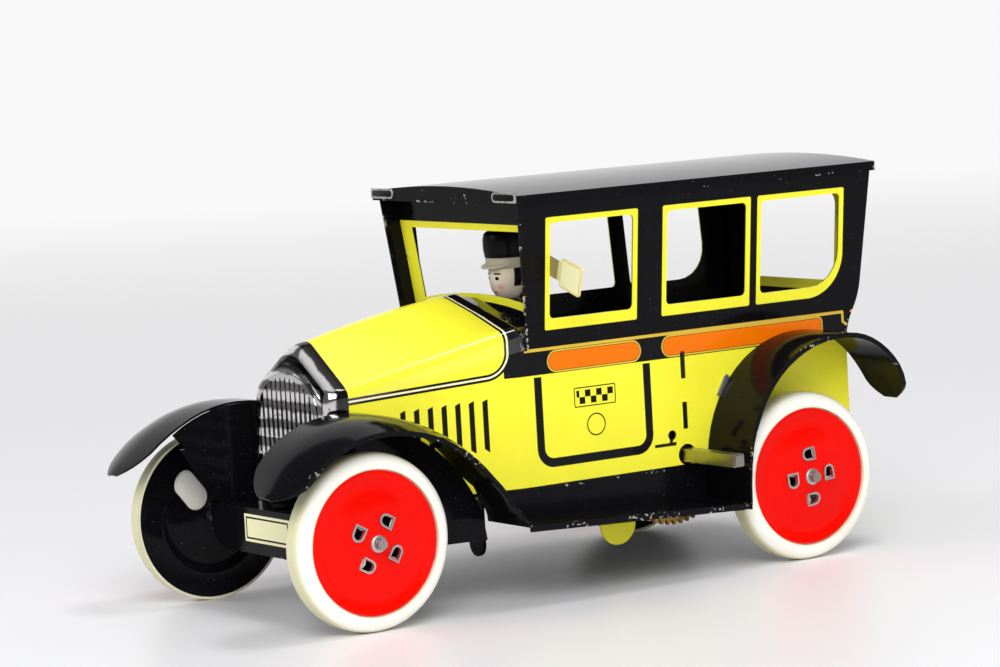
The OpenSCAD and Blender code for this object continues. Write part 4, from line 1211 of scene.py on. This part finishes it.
@dataclass
class Driver:
    """The printed tin driver behind the windscreen: coat, head and tall peaked cap."""

    place: Point = (-3.0, 1.0)
    band_top: float = 76.4

    def coat(self) -> Solid:
        """Turns the coat, with its shoulders and collar."""
        profile = [
            (0.0, 24.7), (6.0, 24.7), (6.3, 38.0), (6.3, 55.5), (5.9, 58.8), (5.0, 61.2), (3.7, 63.0),
            (3.0, 64.2), (2.95, 66.2), (2.2, 66.8), (0.0, 66.8),
        ]
        return Solid().lathe(profile)

    def skull(self) -> Solid:
        """Turns the head, a plain egg with a chin."""
        profile = [
            (0.0, 65.9), (1.6, 66.2), (2.9, 67.2), (3.9, 68.9), (4.35, 70.9), (4.45, 72.6), (4.3, 74.2),
            (3.0, 76.0), (0.0, 77.0),
        ]
        return Solid().lathe(profile)

    def cap(self) -> Solid:
        """Turns the tall cap with its band."""
        profile = [
            (0.0, 74.0), (4.75, 74.0), (4.95, 74.3), (4.95, 76.3), (5.1, 76.6), (5.4, 78.6), (5.4, 80.8),
            (5.1, 82.0), (4.3, 82.6), (0.0, 82.7),
        ]
        return Solid().lathe(profile)

    def visor(self) -> Solid:
        """Cuts the peak of the cap."""
        arc = [math.radians(angle) for angle in range(-80, 81, 10)]
        outer = [(1.5 + 4.9 * math.cos(angle), 4.7 * math.sin(angle)) for angle in arc]
        inner = [(4.4 * math.cos(angle), 4.4 * math.sin(angle)) for angle in reversed(arc)]
        tilt = Matrix.Translation((0, 0, 74.9)) @ Matrix.Rotation(math.radians(9), 4, "Y")
        return Solid().plate(outer + inner, 0.5).soften(0.14).move(tilt)

    def face_print(self, paint: Paint) -> object:
        """Prints the plain doll face and the hair.

        Args:
            paint: The material in the making.

        Returns:
            The colour socket.
        """
        side = abs(paint.y - self.place[1])
        front = paint.x.above(self.place[0] + 1.0, 0.4)
        eye = paint.rounded(side, paint.z, (1.15, 71.2), (2.15, 72.0), 0.38).below(0.0)
        brow = paint.rounded(side, paint.z, (0.8, 72.5), (2.6, 72.9), 0.18).below(0.0)
        lips = paint.rounded(side, paint.z, (-1.0, 68.0), (0.95, 68.4), 0.18).below(0.0)
        cheek = paint.rounded(side, paint.z, (1.5, 68.9), (2.9, 70.1), 0.55).below(0.0, 0.8)
        hair = paint.x.below(self.place[0] + 0.9, 0.3) * paint.z.above(69.6, 0.4)
        colour = paint.mix(cheek * front * 0.35, Ink.SKIN, Ink.SCARLET)
        colour = paint.mix(lips * front * 0.8, colour, Ink.SCARLET)
        colour = paint.mix(eye.most(brow) * front, colour, Ink.BLACK)
        return paint.mix(hair, colour, Ink.BLACK)

    def finish(self, name: str, ink: Ink) -> bpy.types.Material:
        """Prints one part of the figure.

        Args:
            name: The material's name.
            ink: Its main ink.

        Returns:
            The material.
        """
        paint = Paint(name)
        colour: object = ink
        if ink is Ink.SKIN:
            colour = self.face_print(paint)
        if ink is Ink.BLACK:
            colour = paint.mix(paint.z.below(self.band_top, 0.2), ink, Ink.VISOR)
        return Lacquer(gloss=0.28, coat=0.05, dust=0.02).cover(paint, colour)

    def build(self) -> list[bpy.types.Object]:
        """Builds the figure, which stands for its plain solid."""
        spot = Matrix.Translation((*self.place, 0.0))
        parts = (
            ("coat", self.coat(), Ink.COAT), ("head", self.skull(), Ink.SKIN),
            ("cap", self.cap(), Ink.BLACK), ("visor", self.visor(), Ink.VISOR),
        )
        made = []
        for name, solid, ink in parts:
            finish = self.finish(f"driver_{name}_print", ink)
            made.append(solid.move(spot).piece(f"driver_{name}", finish, "body", "printed_tin"))
        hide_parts("driver_figure")
        return made


class Corner(Enum):
    """The four wheels: end, side, place of the axle, sign of the side, angle of the oval opening."""

    FRONT_LEFT = ("front", "left", AXLE_X, 1, 40.0)
    FRONT_RIGHT = ("front", "right", AXLE_X, -1, -52.0)
    REAR_LEFT = ("rear", "left", -AXLE_X, 1, 110.0)
    REAR_RIGHT = ("rear", "right", -AXLE_X, -1, 200.0)


@dataclass
class WheelTabs:
    """The bent tin edges of the four holes round a hub, the hub's washer, and the pale sheet behind the
    back plate's oval opening, which is a painted reflection.
    """

    ring: float = 5.4
    face: float = 39.0
    first: float = 18.0
    half: float = 1.56
    sill: float = 1.85
    spring_line: float = 0.32
    wall: float = 0.5
    stand_out: float = 0.3
    tongue: tuple[Point, ...] = ((-1.0, -0.9), (1.0, -0.9), (1.0, 0.2), (0.0, 0.5), (-1.0, 0.2))
    tongue_t: float = 0.28
    tongue_spot: tuple[float, float, float] = (0.0, -1.3, -0.2)
    tongue_bend: float = 38.0
    cone: float = 5.6
    window: tuple[float, float, float] = (8.1, 5.4, 3.1)
    window_depth: float = 4.3
    window_t: float = 0.25

    def edge(self) -> Solid:
        """Bends the edge of one bell-shaped hole outwards and its tongue inwards."""
        arc = [math.radians(angle) for angle in range(0, 181, 15)]
        dome = [(self.half * math.cos(a), self.spring_line + self.half * math.sin(a)) for a in arc]
        solid = Solid()
        outline = [(-self.half, -self.sill), (self.half, -self.sill), *dome]
        face = solid.mesh.faces.new([solid.mesh.verts.new((u, v, 0.0)) for u, v in outline])
        face.normal_update()
        bmesh.ops.inset_region(solid.mesh, faces=[face], thickness=self.wall, use_boundary=True)
        bmesh.ops.delete(solid.mesh, geom=[face], context="FACES_ONLY")
        grown = bmesh.ops.extrude_face_region(solid.mesh, geom=solid.mesh.faces[:])
        moved = [item for item in grown["geom"] if isinstance(item, bmesh.types.BMVert)]
        bmesh.ops.translate(solid.mesh, verts=moved, vec=(0, 0, self.stand_out))
        tilt = Matrix.Rotation(math.radians(self.tongue_bend), 4, "X")
        bend = Matrix.Translation(self.tongue_spot) @ tilt
        return solid.close().join(Solid().plate(self.tongue, self.tongue_t).move(bend))

    def hub(self) -> Solid:
        """Turns the washer round the axle end."""
        profile = [(1.26, 0.0), (1.85, 0.0), (1.95, 0.75), (1.75, 0.95), (1.4, 1.0), (1.26, 1.0)]
        return Solid().lathe([*profile, profile[0]], 32)

    def build(self, corner: Corner, material: bpy.types.Material) -> bpy.types.Object:
        """Builds the tabs of one wheel.

        Args:
            corner: Which wheel.
            material: Bare tin.

        Returns:
            The piece.
        """
        end, side, along, sign, _ = corner.value
        whole = self.hub()
        for quarter in range(4):
            angle = self.first + 90 * quarter + DISCS_STOPPED[end == "rear"]
            turn = Matrix.Rotation(math.radians(angle), 4, "Z")
            lean = Matrix.Rotation(math.radians(self.cone), 4, "Y")
            whole.join(self.edge().move(turn @ Matrix.Translation((self.ring, 0.0, 0.0)) @ lean))
        self.place(whole, along, sign)
        return whole.piece(f"wheel_tabs_{end}_{side}", material, f"{end}_wheels", "bare_steel")

    def place(self, solid: Solid, along: float, sign: int) -> None:
        """Stands a wheel piece on its axle, on either side.

        Args:
            solid: The piece, with the axle as its vertical.
            along: Place of the axle.
            sign: 1 on the left, -1 on the right.
        """
        stand = Matrix.Rotation(math.radians(-90), 4, "X")
        solid.move(Matrix.Translation((along, self.face, AXLE_Z)) @ stand)
        if sign < 0:
            bmesh.ops.scale(solid.mesh, vec=(1, -1, 1), verts=solid.mesh.verts)
            bmesh.ops.reverse_faces(solid.mesh, faces=solid.mesh.faces)

    def painted_reflection(self, corner: Corner, material: bpy.types.Material) -> bpy.types.Object:
        """Lays a pale sheet behind the oval opening of a back plate: a painted reflection standing for
        bright bare tin.

        Args:
            corner: Which wheel.
            material: Pale lacquer, the colour of the painted reflection.

        Returns:
            The piece.
        """
        end, side, along, sign, opening = corner.value
        middle, length, width = self.window
        arc = [math.radians(angle) for angle in range(-90, 91, 15)]
        reach = length - width
        far = [(middle + reach + width * math.cos(a), width * math.sin(a)) for a in arc]
        near = [(middle - reach - width * math.cos(a), -width * math.sin(a)) for a in arc]
        solid = Solid().plate(far + near, self.window_t).soften(0.06, 1)
        turn = Matrix.Rotation(math.radians(opening), 4, "Z")
        solid.move(turn @ Matrix.Translation((0.0, 0.0, -self.window_depth)))
        self.place(solid, along, sign)
        return solid.piece(f"wheel_lining_{end}_{side}", material, f"{end}_wheels", "cream_tin")


@dataclass
class BodyTabs:
    """Tin added to the body: roof tabs and rear lip, walls of the front wheel arches, a fender tab."""

    thickness: float = 0.4
    roof_x: float = 13.3
    roof_y: Point = (21.0, 30.6)
    roof_z: Point = (90.9, 93.3)
    fender_foot: Point = (22.3, 16.0)
    fender_runs: tuple[tuple[float, float, int], ...] = ((-18.0, 5.4, 3), (-72.0, 47.6, 14))
    fender_gap: float = 1.1
    skirt_y: float = 25.75
    skirt_t: float = 0.5
    skirt_heel: Point = (23.4, 14.7)
    skirt_front: tuple[Point, ...] = ((47.0, 15.3), (47.0, 25.0), (51.0, 30.0), (58.4, 30.0))
    lip_low: float = 90.4
    lip_t: float = 0.36
    lip_inset: float = 1.0
    lip_drop: float = 0.7
    lip_bow: float = 2.2
    lip_gap: float = 0.02
    rear_tab: Point = (5.6, 1.6)
    rear_tab_spot: tuple[float, float, float] = (-44.8, 25.72, 40.2)
    rear_tab_turn: float = -121.0

    def strap(self, length: float, width: float) -> Solid:
        """Cuts a tab with a rounded end.

        Args:
            length: Its length along X.
            width: Its width along Y.

        Returns:
            The solid, lying on the floor plane.
        """
        half = width / 2
        arc = [math.radians(angle) for angle in range(-90, 91, 15)]
        end = [(length - half + half * math.cos(angle), half * math.sin(angle)) for angle in arc]
        return Solid().plate([(0.0, -half), *end, (0.0, half)], self.thickness).soften(0.12)

    def roof_finish(self) -> bpy.types.Material:
        """Black lacquer that is worn bright along the tab's outline."""
        paint = Paint("roof_tab_lacquer")
        low = (self.roof_y[0], self.roof_z[0])
        rim = paint.rounded(abs(paint.y), paint.z, low, (self.roof_y[1], self.roof_z[1]), 1.2)
        worn = rim.above(-0.42, 0.2) * paint.noise(0.8, 4.0).above(0.36, 0.2)
        return Lacquer().cover(paint, Ink.BLACK, None, worn)

    def roof_tabs(self) -> list[bpy.types.Object]:
        """Folds a tab over each front corner of the roof."""
        black = self.roof_finish()
        length = self.roof_y[1] - self.roof_y[0]
        width = self.roof_z[1] - self.roof_z[0]
        middle = sum(self.roof_z) / 2
        made = []
        for name, sign in (("left", 1), ("right", -1)):
            turn = Matrix.Rotation(math.radians(-90 * sign), 4, "Z")
            spot = Matrix.Translation((self.roof_x, sign * self.roof_y[1], middle))
            stand = spot @ Matrix.Rotation(math.radians(90), 4, "Y") @ turn
            tab = self.strap(length, width).move(stand)
            made.append(tab.piece(f"roof_tab_{name}", black, "body", "black_tin"))
        return made

    def fender_line(self) -> list[Point]:
        """Follows the underside of the front fender from its foot to its crown."""
        spot = Vector(self.fender_foot)
        heading = math.radians(90.0)
        gap = self.fender_gap
        points = []
        for turn, run, steps in self.fender_runs:
            for _ in range(steps):
                heading += math.radians(turn) / steps
                spot += Vector((math.cos(heading), math.sin(heading))) * (run / steps)
                points.append((spot.x + gap * math.sin(heading), spot.y - gap * math.cos(heading)))
        return points

    def skirts(self, black: bpy.types.Material) -> list[bpy.types.Object]:
        """Carries the black sill skirt forward as the inner wall of the front wheel arches.

        Args:
            black: Black lacquer.

        Returns:
            The pieces.
        """
        made = []
        for name, sign in (("left", 1), ("right", -1)):
            outline = [self.skirt_heel, *self.skirt_front, *reversed(self.fender_line()[2:-1])]
            solid = Solid().plate(outline, self.skirt_t)
            side = self.skirt_y + self.skirt_t if sign > 0 else -self.skirt_y
            stand = Matrix.Translation((0.0, side, 0.0)) @ Matrix.Rotation(math.radians(90), 4, "X")
            made.append(solid.move(stand).piece(f"front_skirt_{name}", black, "body", "black_tin"))
        return made

    def roof_lip(self, black: bpy.types.Material) -> bpy.types.Object:
        """Turns the roof's rear edge down behind the rear panel.

        Args:
            black: Black lacquer.

        Returns:
            The piece.
        """
        low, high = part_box("roof")
        half = high[1] / MM - self.lip_inset
        top = high[2] / MM - self.lip_drop
        parts = [part / 12 for part in range(12, -13, -1)]
        arch = [(part * half, top - self.lip_bow * part ** 2) for part in parts]
        solid = Solid().plate([(-half, self.lip_low), (half, self.lip_low), *arch], self.lip_t)
        back = low[0] / MM + self.lip_gap
        stand = Matrix(((0, 0, 1, back), (1, 0, 0, 0), (0, 1, 0, 0), (0, 0, 0, 1)))
        return solid.move(stand).piece("roof_rear_lip", black, "body", "black_tin")

    def fender_tab(self, tin: bpy.types.Material) -> bpy.types.Object:
        """Lays the bent tab of the left rear fender on the body side.

        Args:
            tin: Bare tin.

        Returns:
            The piece.
        """
        lean = Matrix.Rotation(math.radians(self.rear_tab_turn), 4, "Y")
        upright = Matrix.Rotation(math.radians(-90), 4, "X")
        tab = self.strap(*self.rear_tab).move(Matrix.Translation(self.rear_tab_spot) @ lean @ upright)
        return tab.piece("rear_fender_tab", tin, "body", "bare_steel")


@dataclass
class Finishes:
    """All the finishes, and which node takes which."""

    chosen: dict[str, bpy.types.Material] = field(default_factory=dict)

    def prepare(self) -> None:
        """Makes each finish once."""
        black = Ink.BLACK
        makers = {
            "side": SidePrint(), "upper": UpperPrint(), "screen": ScreenPrint(), "bonnet": BonnetPrint(),
            "rear": RearPrint(), "valance": PlatePrint(), "radiator": Plating(), "flag": FlagCoat(),
            "fender": PlainCoat("fender_lacquer", black, Rim.FENDER),
            "board": PlainCoat("board_lacquer", black, Rim.BOARD, Lacquer(gloss=0.14)),
            "roof": PlainCoat("roof_lacquer", black, Rim.ROOF),
            "apron": PlainCoat("apron_lacquer", black, Rim.APRON),
            "chassis": PlainCoat("chassis_lacquer", black, Rim.CHASSIS, Lacquer(gloss=0.18)),
            "stop": PlainCoat("stop_lever_lacquer", Ink.LEMON),
            "tyre": WheelCoat("tyre_lacquer", Ink.TYRE), "disc": WheelCoat("disc_lacquer", Ink.SCARLET),
            "back": PlainCoat("wheel_back_lacquer", black),
            # Painted reflection: cream lacquer for the sheet behind each back plate's oval opening.
            "painted_reflection": PlainCoat("wheel_painted_reflection_lacquer", Ink.TYRE),
            "steel": Metal("bright_steel", Ink.STEEL),
            "tin": Metal("raw_tin", Ink.NICKEL, 0.42, 0.1),
            "dark": Metal("oiled_steel", Ink.BLACK, 0.3, 0.3),
            "plate": Metal("motor_plate_steel", Ink.STEEL, 0.3, 0.25, Ink.RUST, (2.0, 0.3, 0.3), 24.8),
            "spring": Metal("blued_spring", Ink.BLUED, 0.2, 0.4, Ink.RUST, (0.2, 3.0, 0.2)),
            "brass": Metal("stamped_brass", Ink.BRASS, 0.24, 0.4, Ink.RUST, (1.2, 0.2, 1.2)),
        }
        self.chosen = {name: maker.make() for name, maker in makers.items()}

    def pick(self, node: str) -> bpy.types.Material:
        """Chooses the finish of a node by its name.

        Args:
            node: The node.

        Returns:
            The material.
        """
        starts = {
            "body_side": "side", "upper_side": "upper", "windscreen": "screen", "bonnet": "bonnet",
            "rear_panel": "rear", "front_valance": "valance", "radiator": "radiator",
            "meter_flag": "flag", "front_fender": "fender", "rear_fender": "fender",
            "running_board": "board", "roof": "roof", "front_apron": "apron", "chassis": "chassis",
            "stop_lever": "stop", "tyre": "tyre", "disc": "disc", "back_": "back", "steering": "dark",
            "motor_plate": "plate", "mainspring": "spring", "great_wheel": "brass",
            "intermediate_wheel": "brass", "intermediate_pinion": "brass", "axle_pinion": "brass",
        }
        for start, finish in starts.items():
            if node.startswith(start):
                return self.chosen[finish]
        return self.chosen["steel"]

    def dress(self, nodes: dict[str, bpy.types.Object]) -> None:
        """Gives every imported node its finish.

        Args:
            nodes: The frame's nodes.
        """
        for name, item in nodes.items():
            item.data.materials.clear()
            item.data.materials.append(self.pick(name))
            LOG.info("%s dressed", name)


@dataclass
class Studio:
    """A white sweep, soft lamps and the camera at the photograph's angle.

    The sweep, the lamps and the clip are in metres. The camera's offset and distance and the
    backdrop's step are in millimetres.
    """

    focal_px: float = 3857.0
    azimuth: float = 146.14
    elevation: float = 5.57
    roll: float = -3.23
    offset: Point = (2.67, -58.02)
    distance: float = 916.0
    sensor: float = 36.0
    width_px: float = 1000.0
    floor: Point = (-2.5, 1.4)
    bend: float = 0.8
    wall_top: float = 3.0
    half_width: float = 3.0
    clip: Point = (0.05, 20.0)
    paper: tuple[Rgb, Rgb] = (chart(236, 235, 237), chart(222, 222, 226))
    backdrop: Rgb = (0.94, 0.94, 0.945)
    backdrop_step: Point = (800.0, 1300.0)
    room_light: tuple[Rgb, float] = ((0.96, 0.98, 1.0), 0.32)
    room_shades: tuple[Rgb, Rgb] = ((0.92, 0.92, 0.93), (0.13, 0.13, 0.14))
    dim_band: Point = (0.08, 0.94)

    def camera(self) -> bpy.types.Object:
        """Makes the camera and sets it."""
        turn, rise, roll = (math.radians(v) for v in (self.azimuth, self.elevation, self.roll))
        level = math.cos(rise)
        back = Vector((math.sin(turn) * level, -math.cos(turn) * level, math.sin(rise)))
        right = Vector((0, 0, 1)).cross(back).normalized()
        up = back.cross(right)
        across = right * math.cos(roll) + up * math.sin(roll)
        above = up * math.cos(roll) - right * math.sin(roll)
        spot = (across * -self.offset[0] + above * -self.offset[1] + back * self.distance) * MM
        data = bpy.data.cameras.new("studio_camera")
        data.sensor_width = self.sensor
        data.lens = self.focal_px / self.width_px * self.sensor
        data.clip_start, data.clip_end = self.clip
        item = bpy.data.objects.new("studio_camera", data)
        axes = Matrix((across, above, back)).transposed().to_4x4()
        item.matrix_world = Matrix.Translation(spot) @ axes
        bpy.context.scene.collection.objects.link(item)
        bpy.context.scene.camera = item
        return item

    def sweep(self) -> None:
        """Makes the pale floor that curves up behind the toy."""
        solid = Solid()
        end, bend = self.floor[1], self.bend
        arc = [math.radians(angle) for angle in range(6, 91, 6)]
        path = [(self.floor[0], 0.0), (end, 0.0)]
        path += [(end + bend * math.sin(angle), bend - bend * math.cos(angle)) for angle in arc]
        path += [(end + bend, self.wall_top)]
        verts = [solid.mesh.verts.new((along, -self.half_width, up)) for along, up in path]
        edges = [solid.mesh.edges.new(pair) for pair in zip(verts, verts[1:])]
        grown = bmesh.ops.extrude_edge_only(solid.mesh, edges=edges)
        moved = [item for item in grown["geom"] if isinstance(item, bmesh.types.BMVert)]
        bmesh.ops.translate(solid.mesh, verts=moved, vec=(0, 2 * self.half_width, 0))
        turn = Matrix.Rotation(math.radians(self.azimuth + 90.0), 4, "Z")
        solid.move(turn)
        for face in solid.mesh.faces:
            face.smooth = True
        data = bpy.data.meshes.new("studio_sweep")
        solid.mesh.to_mesh(data)
        solid.mesh.free()
        paint = Paint("studio_paper")
        grain = paint.noise(0.02, 3.0)
        tint = paint.mix(grain * 0.04, *self.paper)
        paint.set(base_color=tint, roughness=0.38, specular_ior_level=0.3)
        facing = math.radians(self.azimuth)
        away = paint.x * -math.sin(facing) + paint.y * math.cos(facing)
        white = paint.add("ShaderNodeEmission", sockets={"Color": self.backdrop, "Strength": 1.0})
        far = paint.shown_rays() * away.above(*self.backdrop_step)
        surfaces = {0: far, 1: paint.shader.outputs[0], 2: white.outputs[0]}
        shown = paint.add("ShaderNodeMixShader", sockets=surfaces)
        paint.feed(paint.output.inputs["Surface"], shown.outputs[0])
        data.materials.append(paint.material)
        item = bpy.data.objects.new("studio_sweep", data)
        bpy.context.scene.collection.objects.link(item)

    def lamp(
        self, name: str, spot: tuple, aim: tuple, size: Point, watts: float, mirrored: bool = True
    ) -> None:
        """Hangs one soft lamp.

        Args:
            name: The lamp's name.
            spot: Its place in metres.
            aim: What it points at.
            size: Its width and height.
            watts: Its power.
            mirrored: Whether gloss shows it.
        """
        data = bpy.data.lights.new(name, "AREA")
        data.shape = "RECTANGLE"
        data.size, data.size_y = size
        data.energy = watts
        item = bpy.data.objects.new(name, data)
        item.location = spot
        item.rotation_euler = (Vector(aim) - Vector(spot)).to_track_quat("-Z", "Y").to_euler()
        item.visible_glossy = mirrored
        bpy.context.scene.collection.objects.link(item)

    def world(self) -> None:
        """Lights the room evenly, and shows it pale low down and overhead and dim between for gloss."""
        world = bpy.data.worlds.new("studio_room")
        world.use_nodes = True
        room = Graph(world.node_tree)
        sight = room.add("ShaderNodeTexCoord").outputs["Generated"]
        way = room.add("ShaderNodeSeparateXYZ", sockets={0: sight})
        band = Value(room, way.outputs["Z"]).between(*self.dim_band, 0.1)
        tone, strength = self.room_light
        plain = room.add("ShaderNodeBackground", sockets={"Color": tone, "Strength": strength})
        shade = room.mix(band, *self.room_shades)
        shown = room.add("ShaderNodeBackground", sockets={"Color": shade, "Strength": 1.0})
        surfaces = {0: room.shown_rays(), 1: plain.outputs[0], 2: shown.outputs[0]}
        blend = room.add("ShaderNodeMixShader", sockets=surfaces)
        room.add("ShaderNodeOutputWorld", sockets={0: blend.outputs[0]})
        bpy.context.scene.world = world

    def build(self) -> None:
        """Sets up the whole studio."""
        bpy.context.scene.view_settings.view_transform = "Standard"
        self.sweep()
        self.world()
        self.lamp("top_lamp", (0.1, 0.1, 1.3), (0.0, 0.0, 0.0), (2.4, 2.4), 4.0, mirrored=False)
        self.lamp("strip_lamp", (-0.2, 0.3, 1.3), (0.03, 0.0, 0.05), (0.3, 0.3), 3.8)
        self.lamp("key_lamp", (0.7, 1.1, 0.95), (0.0, 0.0, 0.04), (0.9, 0.9), 16.0)
        self.lamp("side_lamp", (0.2, 1.6, 0.25), (0.0, 0.0, 0.05), (1.0, 0.5), 4.0, mirrored=False)
        self.lamp("nose_lamp", (1.2, -0.35, 0.7), (0.0, 0.0, 0.05), (0.5, 0.7), 4.0)


def main() -> None:
    """Dresses the frame, adds the new pieces and sets up the studio."""
    logging.basicConfig(level=logging.INFO, format="%(name)s: %(message)s")
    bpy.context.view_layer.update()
    studio = Studio()
    studio.camera()
    finishes = Finishes()
    finishes.prepare()
    finishes.dress(frame["nodes"])
    slots = {row["node"]: row["material_slot"] for row in frame["record"]["subparts"]}
    Pressings().build(frame["nodes"], slots)
    Driver().build()
    tabs = WheelTabs()
    for corner in Corner:
        tabs.build(corner, finishes.chosen["tin"])
        tabs.painted_reflection(corner, finishes.chosen["painted_reflection"])
    body_tabs = BodyTabs()
    body_tabs.roof_tabs()
    body_tabs.skirts(finishes.chosen["apron"])
    body_tabs.roof_lip(finishes.chosen["back"])
    body_tabs.fender_tab(finishes.chosen["tin"])
    studio.build()


if __name__ == "__main__":
    main()
